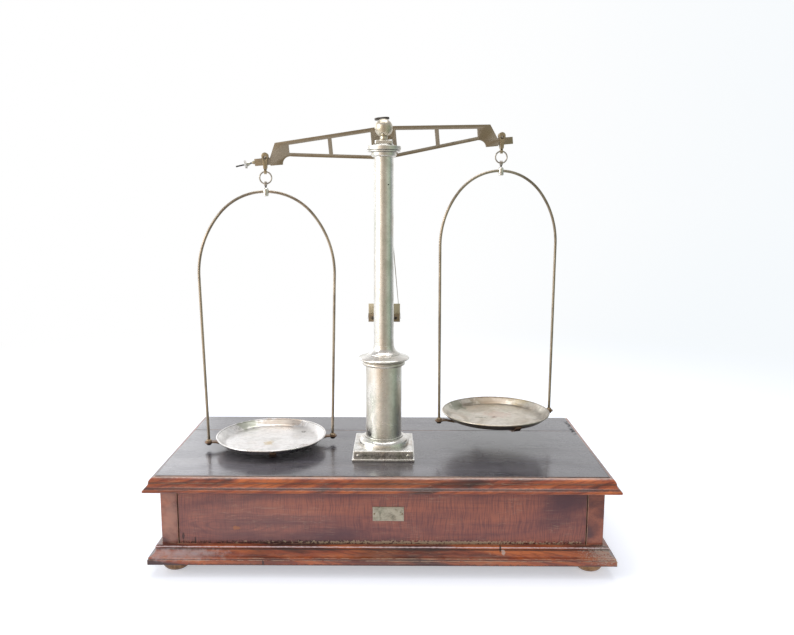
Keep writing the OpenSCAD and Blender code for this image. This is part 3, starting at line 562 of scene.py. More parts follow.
    def parts(self, vector: Socket) -> tuple[Socket, Socket, Socket]:
        """The three parts of a vector."""
        return tuple(self.add("SeparateXYZ", None, vector).outputs)

    def attribute(self, name: str) -> Socket:
        """A float attribute of the piece."""
        return self.add("Attribute", {"attribute_name": name}).outputs["Fac"]

    def group(self, tree: bpy.types.NodeTree, **sockets: object) -> Outputs:
        """The outputs of a node group, by name."""
        return self.add("Group", {"node_tree": tree}, **sockets).outputs

    def shown(self, part: Socket, under: Socket, over: Socket) -> Socket:
        """One shader over another."""
        return self.add("MixShader", None, part, under, over).outputs[0]


def grouped(*outputs: str, **inputs: float | None) -> Callable[[Fill], Callable[[], bpy.types.NodeTree]]:
    """Turns a function that makes nodes into one that gives them as a shader node group.

    Args:
        *outputs: Names of the outputs, all plain values.
        **inputs: The inputs' starting values by name, or None for a vector.

    Returns:
        The decorator.
    """

    def wrap(fill: Fill) -> Callable[[], bpy.types.NodeTree]:
        """Names the group after the function.

        Args:
            fill: Makes the group's nodes from its inputs.

        Returns:
            A function that gives the group.
        """

        def tree() -> bpy.types.NodeTree:
            """The group, built at its first use."""
            if fill.__name__ in bpy.data.node_groups:
                return bpy.data.node_groups[fill.__name__]
            made = bpy.data.node_groups.new(fill.__name__, "ShaderNodeTree")
            for label, value in inputs.items():
                kind = "NodeSocketVector" if value is None else "NodeSocketFloat"
                socket = made.interface.new_socket(name=label, in_out="INPUT", socket_type=kind)
                if value is not None:
                    socket.default_value = value
            for label in outputs:
                made.interface.new_socket(name=label, in_out="OUTPUT", socket_type="NodeSocketFloat")
            g = Graph(made)
            given = {s.name: s for s in g.add("NodeGroupInput").outputs if s.name}
            out = g.add("NodeGroupOutput")
            for label, socket in fill(g, given).items():
                g.feed(out.inputs[label], socket)
            return made

        return tree

    return wrap


@grouped("Tone", "Fibre", "Ripple", "Pores", Vector=None, Across=60.0)
def grain(g: Graph, given: dict[str, Socket]) -> dict[str, Socket]:
    """Wood figure along X: broad tone, fine fibres, ripples across, and open pores.

    Args:
        g: The group's nodes.
        given: Its inputs, by name.

    Returns:
        Its outputs, by name.
    """
    spot, across = given["Vector"], given["Across"]
    wander = g.blur(g.stretch(spot, (6, 30, 30)), 1.0, 2.0)
    bent = g.vector("ADD", spot, g.stretch(g.joined(Y=wander, Z=wander), (0, 0.006, 0.006)))
    wide = g.joined(X=5.0, Y=across, Z=across)
    dense = g.times(across, 14.0)
    fine = g.joined(X=14.0, Y=dense, Z=dense)
    curl = g.times(g.minus(g.blur(g.stretch(spot, (16, 16, 26)), 1.0, 2.0), 0.5), 0.009)
    curled = g.vector("ADD", spot, g.joined(X=curl))
    return {"Tone": g.blur(g.stretch(bent, wide), 1.0, 5.0, 0.6, 0.6),
            "Fibre": g.blur(g.stretch(bent, fine), 1.0, 4.0, 0.6),
            "Ripple": g.blur(g.stretch(curled, (900, 60, 48)), 1.0, 2.0, 0.55, 0.2),
            "Pores": g.step(g.blur(g.stretch(spot, (90, 1500, 1500)), 1.0, 2.0), 0.6, 0.72)}


@grouped("Worn", "Grime", "Scratch", Vector=None, Edge=0.0, Crease=0.0, Amount=0.4)
def wear(g: Graph, given: dict[str, Socket]) -> dict[str, Socket]:
    """Worn edges, creases darkened with dirt and painted shade, and fine scratches.

    Args:
        g: The group's nodes.
        given: Its inputs, by name.

    Returns:
        Its outputs, by name.
    """
    spot, amount = given["Vector"], given["Amount"]
    rough = g.blur(spot, 170.0, 6.0, 0.65)
    broad = g.blur(spot, 22.0, 3.0)
    edge = g.times(given["Edge"], g.plus(rough, g.times(broad, 0.6)))
    scratch = 0.0
    for turned, wide in ((17.0, 0.006), (74.0, 0.005), (-38.0, 0.004)):
        laid = g.mapped(spot, (turned * 0.7, turned * -0.4, turned), Scale=(14.0, 320.0, 320.0))
        near = g.math("ABSOLUTE", g.minus(g.blur(laid, 1.0, 1.0), 0.5))
        scratch = g.most(scratch, g.rest(g.step(near, wide * 0.3, wide * 2.2)))
    return {"Worn": g.step(edge, g.minus(1.02, amount), g.minus(1.2, amount)),
            # Creases darkened by dirt and by painted shade.
            "Grime": g.step(g.times(given["Crease"], g.plus(rough, 0.35)), 0.25, 0.75),
            "Scratch": g.times(scratch, g.step(broad, 0.42, 0.62))}


@grouped("Cloud", "Mottle", "Specks", "Streak", Vector=None, Scale=40.0)
def patina(g: Graph, given: dict[str, Socket]) -> dict[str, Socket]:
    """Clouds, specks and streaks of tarnish on metal.

    Args:
        g: The group's nodes.
        given: Its inputs, by name.

    Returns:
        Its outputs, by name.
    """
    spot, scale = given["Vector"], given["Scale"]
    cells = g.add("TexVoronoi", None, Vector=spot, Scale=g.times(scale, 7.0), Randomness=1.0).outputs
    sizes = g.blur(spot, g.times(scale, 2.3), 3.0)
    return {"Cloud": g.step(g.blur(spot, scale, 7.0, 0.6, 0.8), 0.36, 0.68),
            "Mottle": g.step(g.blur(spot, g.times(scale, 6.0), 6.0, 0.65), 0.4, 0.66),
            "Specks": g.times(g.rest(g.step(cells["Distance"], 0.06, 0.2)), g.step(sizes, 0.56, 0.66)),
            "Streak": g.blur(g.stretch(spot, (220, 220, 9)), 1.0, 4.0, 0.6)}


@grouped("Mask", Vector=None, Crease=0.0, Amount=0.1)
def dust(g: Graph, given: dict[str, Socket]) -> dict[str, Socket]:
    """Thin dust on what faces up, thicker in creases.

    Args:
        g: The group's nodes.
        given: Its inputs, by name.

    Returns:
        Its outputs, by name.
    """
    lying = g.step(g.parts(g.add("NewGeometry").outputs["Normal"])[2], 0.5, 1.0)
    patchy = g.step(g.blur(given["Vector"], 60.0, 6.0, 0.7), 0.3, 0.75)
    thick = g.plus(g.times(lying, patchy), g.times(given["Crease"], patchy))
    return {"Mask": g.math("MULTIPLY", thick, given["Amount"], clamp=True)}


# Finishes


class Grain(Enum):
    """The direction in which a board's grain runs, as the turn that brings it to X."""

    ALONG_X = (0, 0, 0)
    ALONG_Y = (0, 0, 90)
    ALONG_Z = (0, 90, 0)


@dataclass(frozen=True)
class Mark:
    """A tint inside an ellipsoid with a ragged edge, for blemishes and for painted light and shade. Places
    and sizes are in metres.
    """

    at: Sequence[float]
    size: Sequence[float]
    tint: str
    strength: float = 0.8
    ragged: float = 0.6
    grit: float = 300.0
    soft: float = 0.4


@dataclass(frozen=True)
class Finish:
    """What every finish has: a name, the record's slot, marks by place, and a material that is built once."""

    name: str
    slot: str
    marks: Sequence[Mark] = field(default=(), kw_only=True)

    def material(self) -> bpy.types.Material:
        """The material, built at its first use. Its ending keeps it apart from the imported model's."""
        name = self.name + "_finish"
        made = bpy.data.materials.get(name)
        if made is None:
            made = bpy.data.materials.new(name)
            g = Graph.of(made)
            skin = g.add("BsdfPrincipled")
            g.add("OutputMaterial", None, skin.outputs[0])
            self.build(g, skin)
            for mark in self.marks:
                self.blemish(g, skin, mark)
        return made

    def build(self, g: Graph, skin: Node) -> None:
        """Joins the finish's own nodes to the shader; each kind of finish has its own."""
        raise NotImplementedError

    def blemish(self, g: Graph, skin: Node, mark: Mark) -> None:
        """Lays one mark over the base colour.

        Args:
            g: The material's nodes.
            skin: The shader.
            mark: The mark.
        """
        spot = g.here()
        near = g.stretch(g.vector("ADD", spot, [-a for a in mark.at]), [1 / a for a in mark.size])
        lumps = g.times(g.minus(g.blur(spot, mark.grit, 4.0, 0.6), 0.5), mark.ragged * 3)
        inside = g.rest(g.step(g.plus(g.vector("LENGTH", near), lumps), 1.0 - mark.soft, 1.0))
        base = skin.inputs["Base Color"]
        g.feed(base, g.paint(base.links[0].from_socket, (inside, mark.strength, mark.tint)))

    def worn_away(self, g: Graph, spot: Socket, worn: float, dusty: float) -> tuple[Outputs, Socket]:
        """The masks of age, with creases darkened by dirt and painted shade.

        Args:
            g: The material's nodes.
            spot: Object coordinates.
            worn: How far edges are worn.
            dusty: How much dust lies on top.

        Returns:
            The masks of wear, which darken creases with dirt and painted shade, and the mask of dust.
        """
        crease = g.attribute("crease")
        masks = g.group(wear(), Vector=spot, Edge=g.attribute("edge"), Crease=crease, Amount=worn)
        return masks, g.group(dust(), Vector=spot, Crease=crease, Amount=dusty)["Mask"]

    def join(self, g: Graph, skin: Node, height: Socket, relief: float, **sockets: object) -> None:
        """Feeds the shader.

        Args:
            g: The material's nodes.
            skin: The shader.
            height: The surface's height, as a value about 1.
            relief: The height in metres that 1 stands for.
            **sockets: What its inputs get, by the input's name with _ for a space.
        """
        lump = g.add("Bump", None, Height=height, Strength=1.0, Distance=relief)
        for name, value in {"Normal": lump.outputs[0], **sockets}.items():
            g.feed(skin.inputs[name.replace("_", " ")], value)


@dataclass(frozen=True)
class Metal(Finish):
    """Worn metal: bright where rubbed, clouded and specked with tarnish elsewhere."""

    bright: str
    dull: str
    dark: str
    rough: Point = (0.2, 0.42)
    scale: float = 38.0
    clouded: float = 0.6
    specked: float = 0.5
    worn: float = 0.45
    scratched: float = 0.25
    streaked: float = 0.15
    dusty: float = 0.08
    warm: str = "c9a983"
    cool: str = "9fab92"
    hued: float = 0.3
    grimy: str = "37322b"
    dusted: str = "b9b2a6"
    relief: float = 0.00004

    def build(self, g: Graph, skin: Node) -> None:
        """Tarnish over the bright metal, and bright edges over the tarnish.

        Args:
            g: The material's nodes.
            skin: The shader.
        """
        spot = g.here()
        tarnish = g.group(patina(), Vector=spot, Scale=self.scale)
        masks, lying = self.worn_away(g, spot, self.worn, self.dusty)
        streaks = g.times(g.minus(tarnish["Streak"], 0.5), self.streaked * 2)
        dulled = g.plus(g.times(tarnish["Cloud"], self.clouded), streaks, clamp=True)
        drift = g.blur(g.stretch(spot, (1.0, 1.0, 0.35)), 55.0, 4.0, 0.6, 0.4)
        tint = g.paint(
            g.mix(dulled, colour(self.bright), colour(self.dull)),
            (g.step(drift, 0.52, 0.72), self.hued, self.warm),
            (g.rest(g.step(drift, 0.3, 0.48)), self.hued, self.cool),
            (tarnish["Mottle"], self.specked * 0.35, self.dark), (tarnish["Specks"], self.specked, self.dark),
            # Creases get the grimy tint: dirt and painted shade.
            (masks["Scratch"], self.scratched * 0.4, self.dark), (masks["Grime"], 0.8, self.grimy),
            (masks["Worn"], 0.85, self.bright), (lying, 1.0, self.dusted))
        rough = g.blend(g.most(tarnish["Cloud"], tarnish["Specks"]), *self.rough)
        rough = g.plus(rough, g.times(masks["Scratch"], self.scratched * 0.25))
        hidden = g.most(g.times(tarnish["Specks"], self.specked * 0.7), g.times(masks["Grime"], 0.6))
        dips = g.plus(g.times(masks["Scratch"], self.scratched), tarnish["Specks"])
        self.join(g, skin, g.minus(g.times(tarnish["Mottle"], 0.3), dips), self.relief, Base_Color=tint,
                  Roughness=g.plus(rough, g.times(lying, 0.4), clamp=True),
                  Metallic=g.rest(g.plus(hidden, lying, clamp=True)))


@dataclass(frozen=True)
class Wood(Finish):
    """Polished wood with a direction of grain."""

    light: str
    middle: str
    shade: str
    # Pale tint of worn edges and scratches; on convex edges it also serves as a painted highlight.
    worn_to: str = "b79a80"
    grimy: str = "1d1210"
    dusted: str = "a89d92"
    grain: Grain = Grain.ALONG_X
    across: float = 60.0
    ripple: float = 0.0
    rough: Point = (0.3, 0.5)
    coat: float = 0.3
    worn: float = 0.35
    patched: float = 0.35
    slant: float = 0.0
    spread: Point = (0.3, 0.7)
    streaked: float = 0.4
    flame: Point | None = None
    flame_fade: Point = (0.004, 0.021)
    flame_stray: float = 0.02
    flame_waves: float = 1900.0

    def build(self, g: Graph, skin: Node) -> None:
        """Figure, stain patches, ripple, worn edges and open pores.

        Args:
            g: The material's nodes.
            skin: The shader.
        """
        spot = g.here()
        laid = g.mapped(g.mapped(spot, self.grain.value), (0, self.slant, 0))
        figure = g.group(grain(), Vector=laid, Across=self.across)
        masks, lying = self.worn_away(g, spot, self.worn, 0.12)
        shades = [(g.step(g.blur(g.stretch(laid, (9, 30, 30)), 1.0, 3.0), 0.45, 0.7), self.patched),
                  (g.step(figure["Fibre"], 0.48, 0.7), self.streaked)]
        if self.flame:
            shades.append((self.rings(g, spot), 0.5))
        shades += [(g.step(figure["Ripple"], 0.42, 0.64), self.ripple * 0.56), (figure["Pores"], 0.5)]
        stops = ((0.0, self.shade), (0.45, self.middle), (1.0, self.light))
        tone = g.paint(
            g.ramp(g.step(figure["Tone"], *self.spread), stops),
            *((mask, strength, self.shade) for mask, strength in shades),
            # Creases get the grimy tint: dirt and painted shade.
            (masks["Grime"], 0.7, self.grimy), (masks["Worn"], 0.8, self.worn_to),
            (masks["Scratch"], 0.25, self.worn_to), (lying, 1.0, self.dusted))
        dips = g.plus(figure["Pores"], g.times(masks["Worn"], 1.4))
        self.join(g, skin, g.minus(g.times(figure["Fibre"], 0.4), dips), WOOD_RELIEF, Base_Color=tone,
                  Roughness=g.blend(g.most(figure["Pores"], masks["Worn"]), *self.rough), Coat_Roughness=0.16,
                  Coat_Weight=g.blend(g.most(masks["Worn"], lying), self.coat, 0.0))

    def rings(self, g: Graph, spot: Socket) -> Socket:
        """A mask of the long oval rings round the place where the saw met the tree's side.

        Args:
            g: The material's nodes.
            spot: Object coordinates.

        Returns:
            The mask.
        """
        x, z = self.flame
        reach = g.vector("LENGTH", g.stretch(g.vector("ADD", spot, (-x, 0.0, -z)), (0.2, 0.0, 1.0)))
        stray = g.times(g.blur(g.stretch(spot, (14, 0, 40)), 1.0, 2.0), self.flame_stray)
        wave = g.math("SINE", g.times(g.plus(reach, stray), self.flame_waves))
        return g.times(g.step(wave, 0.1, 0.95), g.rest(g.step(reach, *self.flame_fade)))


@dataclass(frozen=True)
class BlackPolish(Finish):
    """Ebonised boards: black polish with long fibres, rubs, a crack and chips at the right edge."""

    crack_from: Point = (0.160, 0.0300)
    crack_to: Point = (0.203, 0.0095)
    crack_wide: Point = (0.00012, 0.0004)
    chips_x: float = 0.2245
    chips_wide: Point = (0.0012, 0.0034)
    chips_y: Sequence[float] = (0.030, 0.040, 0.088, 0.096)

    def build(self, g: Graph, skin: Node) -> None:
        """Near-black colour, glossy with fine long scratches, and the damage by place.

        Args:
            g: The material's nodes.
            skin: The shader.
        """
        spot = g.here()
        x, y, _ = g.parts(spot)
        figure = g.group(grain(), Vector=spot, Across=90.0)
        masks, lying = self.worn_away(g, spot, 0.42, 0.16)
        strokes = g.step(g.blur(g.stretch(spot, (9, 900, 900)), 1.0, 3.0, 0.6), 0.5, 0.75)
        crack, chips = self.crack(g, x, y, spot), self.chips(g, x, y, spot)
        tint = g.paint(
            g.mix(g.step(figure["Fibre"], 0.35, 0.7), colour("1e1b22"), colour("37323d")),
            (g.step(figure["Tone"], 0.5, 0.75), 0.5, "3f3431"), (masks["Worn"], 0.8, "8d6f5a"),
            (masks["Scratch"], 0.08, "8c8a92"), (strokes, 0.24, "6f6b78"), (lying, 1.0, "8f8d90"),
            (g.most(crack, chips), 1.0, "0b0a0a"))
        rub = g.step(g.blur(g.stretch(spot, (12, 40, 40)), 1.0, 4.0), 0.4, 0.75)
        rubbed = g.blend(g.times(rub, g.step(figure["Fibre"], 0.3, 0.7)), 0.22, 0.44)
        matt = g.plus(g.times(lying, 0.35), g.times(chips, 0.4))
        dips = g.plus(g.plus(g.times(crack, 5.0), g.times(chips, 4.0)), g.times(figure["Pores"], 0.7))
        ribs = g.plus(g.times(figure["Fibre"], 0.5), g.times(strokes, 0.3))
        self.join(g, skin, g.minus(ribs, dips), POLISH_RELIEF, Base_Color=tint, Coat_Roughness=0.17,
                  Roughness=g.plus(rubbed, matt, clamp=True),
                  Coat_Weight=g.blend(g.most(masks["Worn"], chips), 0.6, 0.0))

    def crack(self, g: Graph, x: Socket, y: Socket, spot: Socket) -> Socket:
        """A mask of the crack, a thin line that wanders from one point to the other.

        Args:
            g: The material's nodes.
            x: The first object coordinate.
            y: The second one.
            spot: All three.

        Returns:
            The mask.
        """
        (x0, y0), (x1, y1) = self.crack_from, self.crack_to
        part = g.math("DIVIDE", g.minus(x, x0), x1 - x0)
        stray = g.times(g.minus(g.blur(spot, 130.0, 3.0), 0.5), 0.006)
        off = g.math("ABSOLUTE", g.minus(y, g.plus(g.blend(part, y0, y1), stray)))
        return g.times(g.rest(g.step(off, *self.crack_wide)), g.band(part, 0.0, 0.12, 0.9, 1.0))

    def chips(self, g: Graph, x: Socket, y: Socket, spot: Socket) -> Socket:
        """A mask of the small chips in a row along the right edge.

        Args:
            g: The material's nodes.
            x: The first object coordinate.
            y: The second one.
            spot: All three.

        Returns:
            The mask.
        """
        near = g.rest(g.step(g.math("ABSOLUTE", g.minus(x, self.chips_x)), *self.chips_wide))
        lumps = g.step(g.blur(spot, 260.0, 3.0, 0.6), 0.47, 0.56)
        return g.times(near, g.band(y, *self.chips_y), lumps)


@dataclass(frozen=True)
class PanMetal(Metal):
    """A pan's worn plating, with marks left by spinning and a darker ring where the floor meets the wall."""

    centre: Point = (0.0, 0.0)
    ring: float = 0.5
    ring_at: Sequence[float] = (0.0488, 0.0515, 0.0535, 0.0562)
    stain: str = "a08a52"

    def build(self, g: Graph, skin: Node) -> None:
        """The plain metal first, then rings about the pan's own axis over its colour and roughness.

        Args:
            g: The material's nodes.
            skin: The shader.
        """
        super().build(g, skin)
        spot = g.here((-self.centre[0], -self.centre[1], 0.0))
        x, y, _ = g.parts(spot)
        radius = g.math("SQRT", g.plus(g.times(x, x), g.times(y, y)))
        patchy = g.step(g.blur(spot, 34.0, 5.0), 0.3, 0.65)
        stain = g.step(g.blur(g.vector("ADD", spot, (0.3, 0.1, 0.0)), 16.0, 5.0, 0.6), 0.6, 0.74)
        ring = g.times(g.band(radius, *self.ring_at), patchy)
        layers = ((ring, self.ring, self.dark), (stain, 0.45, self.stain))
        base, rough = skin.inputs["Base Color"], skin.inputs["Roughness"]
        g.feed(base, g.paint(base.links[0].from_socket, *layers))
        turned = g.times(g.minus(g.blur(g.joined(X=radius), 1400.0, 2.0), 0.5), 0.12)
        g.feed(rough, g.plus(rough.links[0].from_socket, turned))


@dataclass(frozen=True)
class Plain(Finish):
    """A simple surface with fine mottling, for stone and for the engraved lines."""

    main: str
    other: str
    rough: float = 0.3

    def build(self, g: Graph, skin: Node) -> None:
        """Two colours mixed by noise.

        Args:
            g: The material's nodes.
            skin: The shader.
        """
        cloud = g.blur(g.here(), 120.0, 6.0, 0.6, 1.5)
        tint = g.mix(g.step(cloud, 0.35, 0.65), colour(self.main), colour(self.other))
        self.join(g, skin, cloud, PLAIN_RELIEF, Base_Color=tint,
                  Roughness=g.blend(cloud, self.rough * 0.8, self.rough * 1.2))


def along(z: float, half: float, tint: str, strength: float, ragged: float) -> Mark:
    """A mark that runs round the whole case at one height."""
    return Mark((0.0, 0.0, z), (0.5, 0.5, half), tint, strength, ragged)


BLACK = BlackPolish(
    "black_polish", "ebonised_wood", marks=(
        # Two lighter patches on the black top, at the front left and along the front: painted reflection.
        Mark((-0.15, -0.075, 0.109), (0.13, 0.045, 0.02), "9a969b", 0.3, 0.5, 60.0, 1.0),
        Mark((0.03, -0.085, 0.109), (0.2, 0.02, 0.02), "8f8b90", 0.22, 0.6, 60.0, 1.0)))
# A pale line along the top moulding's upper edge: a painted highlight.
ARRIS_HIGHLIGHT = along(0.1037, 0.0007, "c9b3a4", 0.55, 0.5)
# A dark line painted round the groove above the top moulding's lower bead: painted shade.
GROOVE_SHADE = along(0.0941, 0.0011, "24100c", 0.75, 0.35)
# Round the base moulding: a dark line in the groove under the bead is painted shade, a pale line along the
# bead is a painted highlight, and a darker band runs along the lowest edge.
BASE_MARKS = (along(0.0277, 0.0010, "20100c", 0.75, 0.35), along(0.0304, 0.0006, "d8c4c2", 0.75, 0.7),
              along(0.0135, 0.0022, "3a1f1a", 0.7, 0.8))
MOULDING_X = Wood(
    "moulding_along", "stained_mahogany", light="bd6430", middle="8a3f25", shade="3a1b17", across=62.0,
    coat=0.45, worn=0.38, rough=(0.3, 0.5), slant=14.0, spread=(0.36, 0.66), streaked=0.55, patched=0.6,
    marks=(GROOVE_SHADE, ARRIS_HIGHLIGHT))
# The end mouldings get a darker, less glossy copy of the moulding wood: painted shade on the case's ends.
MOULDING_Y_SHADED = replace(
    MOULDING_X, name="moulding_across", light="8f5238", middle="6a3829", shade="33191a",
    grain=Grain.ALONG_Y, slant=0.0, coat=0.25, marks=(GROOVE_SHADE,))
BASE_X = replace(
    MOULDING_X, name="base_along", slant=-9.0, marks=(
        *BASE_MARKS,
        Mark((-0.205, -0.11, 0.0235), (0.062, 0.03, 0.007), "b5a6a5", 0.6, 0.5, 200.0, 0.95),
        Mark((0.226, -0.11, 0.0255), (0.026, 0.04, 0.01), "b0a597", 0.55, 1.2, 700.0, 0.9),
        Mark((0.1192, -0.11, 0.029), (0.0013, 0.02, 0.0045), "1a0f0d", 0.9, 0.3),
        Mark((0.1222, -0.11, 0.0262), (0.002, 0.02, 0.0036), "b8aaa0", 0.7, 0.9),
        Mark((-0.1199, -0.11, 0.0165), (0.0013, 0.02, 0.003), "1d110e", 0.85, 0.4)))
BASE_Y_SHADED = replace(MOULDING_Y_SHADED, name="base_across", marks=BASE_MARKS)
PANEL = Wood(
    "panel_wood", "stained_mahogany", light="a35f49", middle="8d5347", shade="55343a", across=20.0,
    ripple=0.95, coat=0.1, flame=(-0.15, 0.05), worn=0.45, rough=(0.42, 0.58), patched=0.4, streaked=0.3,
    marks=(
        # Lightens the left half of the panel: painted light from the left.
        Mark((-0.13, -0.1, 0.06), (0.13, 0.01, 0.06), "c08a78", 0.16, 0.3, 60.0, 1.0),
        Mark((-0.1485, -0.1, 0.0479), (0.0042, 0.01, 0.0026), "a8683c", 0.6, 0.5),
        Mark((-0.1905, -0.1, 0.0345), (0.0009, 0.01, 0.0055), "20100d", 0.9, 0.5),
        Mark((-0.2027, -0.1, 0.038), (0.0016, 0.01, 0.0045), "2a1713", 0.8, 0.6),
        Mark((0.0, -0.1, 0.0322), (0.24, 0.01, 0.0026), "2f1c18", 0.8, 1.1, 520.0),
        Mark((0.05, -0.1, 0.0327), (0.15, 0.01, 0.0018), "b19a7e", 0.7, 1.5, 430.0)))
SIDES = Wood(
    "side_wood", "stained_mahogany", light="a5624a", middle="864c3d", shade="573535", across=40.0,
    coat=0.12, worn=0.4, grain=Grain.ALONG_Y, ripple=0.3, marks=(
        # Lightens the left stile: painted light from the left.
        Mark((-0.2155, -0.1, 0.062), (0.016, 0.012, 0.045), "c8937c", 0.5, 0.4, 90.0, 0.9),))
PINE = Wood(
    "inner_pine", "inner_pine", light="c9a272", middle="b18a5c", shade="85623c", across=30.0, coat=0.0,
    worn=0.1)
FOOT = Wood(
    "foot_wood", "foot_wood", light="d3a070", middle="b08255", shade="6f4e32", across=70.0, coat=0.2,
    worn=0.3, grain=Grain.ALONG_Z)
PLATE = Metal(
    "plate_metal", "nameplate_metal", bright="b9b19e", dull="6f695b", dark="2d2a25", rough=(0.35, 0.5),
    scale=150.0, clouded=1.0, specked=0.8, worn=0.6)
NICKEL = Metal(
    "nickel_plate", "nickel_plate", bright="eceae5", dull="c8c4b8", dark="85827a", rough=(0.24, 0.38),
    specked=0.4, streaked=0.4, scratched=0.4, hued=0.4, warm="dccbb8", cool="b4bfae", grimy="6e6a5d",
    relief=0.000012, scale=46.0, marks=(
        Mark((0.005, -0.0395, 0.3928), (0.0011, 0.01, 0.0009), "2b2622", 0.9, 0.3),))
OLD_NICKEL = Metal(
    "worn_nickel", "nickel_plate", bright="dcd4c3", dull="b0a58d", dark="6a5f4c", rough=(0.26, 0.42),
    scale=90.0, hued=0.25)
PLINTH_NICKEL = Metal(
    "plinth_nickel", "nickel_plate", bright="f4f2ee", dull="ccc9c1", dark="66645e", rough=(0.24, 0.45),
    scale=60.0, clouded=0.8, specked=0.9, worn=0.6, marks=(
        Mark((-0.004, -0.06, 0.1105), (0.027, 0.004, 0.0042), "45463e", 0.6, 1.2, 320.0, 0.8),
        Mark((0.018, -0.06, 0.11), (0.011, 0.004, 0.004), "5c6052", 0.5, 1.2, 420.0, 0.8)))
BEAM_BRASS = Metal(
    "beam_brass", "beam_brass", bright="9d907c", dull="756a5b", dark="3b342c", rough=(0.3, 0.5),
    scale=44.0, clouded=0.9, specked=0.45, worn=0.52, hued=0.25)
SHACKLE = Metal(
    "shackle_metal", "beam_brass", bright="b8ab92", dull="8a7d69", dark="48413a", rough=(0.24, 0.42),
    scale=120.0)
BOW_BRASS = Metal(
    "bow_brass", "bow_brass", bright="b7aa98", dull="8b8072", dark="4a423a", rough=(0.26, 0.46),
    scale=24.0, clouded=0.9, specked=0.4, warm="b29884", cool="9c998c", relief=0.00001)
STRIP_BRASS = Metal(
    "strip_brass", "bow_brass", bright="8f7664", dull="5a463b", dark="2e221d", rough=(0.35, 0.55),
    scale=40.0, clouded=0.9, specked=0.6, worn=0.35, hued=0.15)
NUT_BRASS = Metal(
    "nut_brass", "bow_brass", bright="ab967c", dull="6a5847", dark="33281f", rough=(0.3, 0.48),
    scale=90.0, hued=0.15)
DARK_STEEL = Metal(
    "dark_steel", "dark_steel", bright="5c5650", dull="3a3633", dark="231f1d", rough=(0.3, 0.5),
    scale=120.0)
STEEL = Metal(
    "steel", "steel", bright="b0aaa2", dull="847d75", dark="4c4038", rough=(0.25, 0.45), scale=110.0)
INDEX = Metal(
    "index_silvering", "index_enamel", bright="cbc3ad", dull="afa68e", dark="7a725c", rough=(0.35, 0.5),
    scale=90.0)
LEFT_PAN = PanMetal(
    "pan_metal_left", "pan_nickel", bright="f0eeec", dull="d3cfca", dark="7a746b", rough=(0.26, 0.42),
    scale=34.0, clouded=0.5, specked=0.6, worn=0.5, hued=0.1, ring=0.3, centre=(-0.1262, -0.0088), marks=(
        # On the back wall: a greenish tint at the left is painted reflection, and a darker warm patch in the
        # middle is painted shade over the lamp's reflection.
        Mark((-0.16, 0.032, 0.116), (0.017, 0.014, 0.006), "767f5c", 0.55, 0.7, 160.0),
        Mark((-0.118, 0.0455, 0.116), (0.034, 0.012, 0.006), "b09a82", 0.55, 0.7, 160.0),
        Mark((-0.1275, -0.0205, 0.111), (0.0055, 0.008, 0.003), "bfa25c", 0.6, 1.0, 400.0),
        Mark((-0.094, 0.02, 0.111), (0.004, 0.0035, 0.003), "57503f", 0.7, 1.1, 600.0),
        Mark((-0.085, -0.028, 0.111), (0.0075, 0.0045, 0.003), "8d7a6c", 0.55, 1.3, 500.0)))
RIGHT_PAN = PanMetal(
    "pan_metal_right", "pan_nickel", bright="d6cfc3", dull="b0a490", dark="5f5546", rough=(0.32, 0.46),
    scale=30.0, clouded=0.75, worn=0.5, hued=0.2, ring=0.75, centre=(0.1262, 0.0088), marks=(
        # On the back wall: a greenish tint at the left and a warm patch in the middle are painted reflection.
        Mark((0.085, 0.043, 0.138), (0.014, 0.014, 0.007), "647256", 0.5, 0.8, 160.0),
        Mark((0.13, 0.065, 0.138), (0.034, 0.01, 0.006), "8d7a66", 0.55, 0.7, 160.0),
        Mark((0.181, -0.005, 0.138), (0.018, 0.055, 0.012), "6f675a", 0.75, 0.5, 120.0, 0.9),
        Mark((0.1244, 0.0054, 0.134), (0.003, 0.003, 0.003), "6d5140", 0.7, 1.3, 600.0),
        Mark((0.108, 0.004, 0.134), (0.006, 0.0014, 0.003), "54443a", 0.7, 1.3, 600.0),
        Mark((0.13, 0.015, 0.134), (0.018, 0.014, 0.003), "b98f7c", 0.3, 0.8, 200.0)))
AGATE = Plain("agate", "agate", main="7c3425", other="b0705a", rough=0.12)
INK = Plain("engraved_lines", "index_enamel", main="191614", other="2a2522", rough=0.6)


# The case


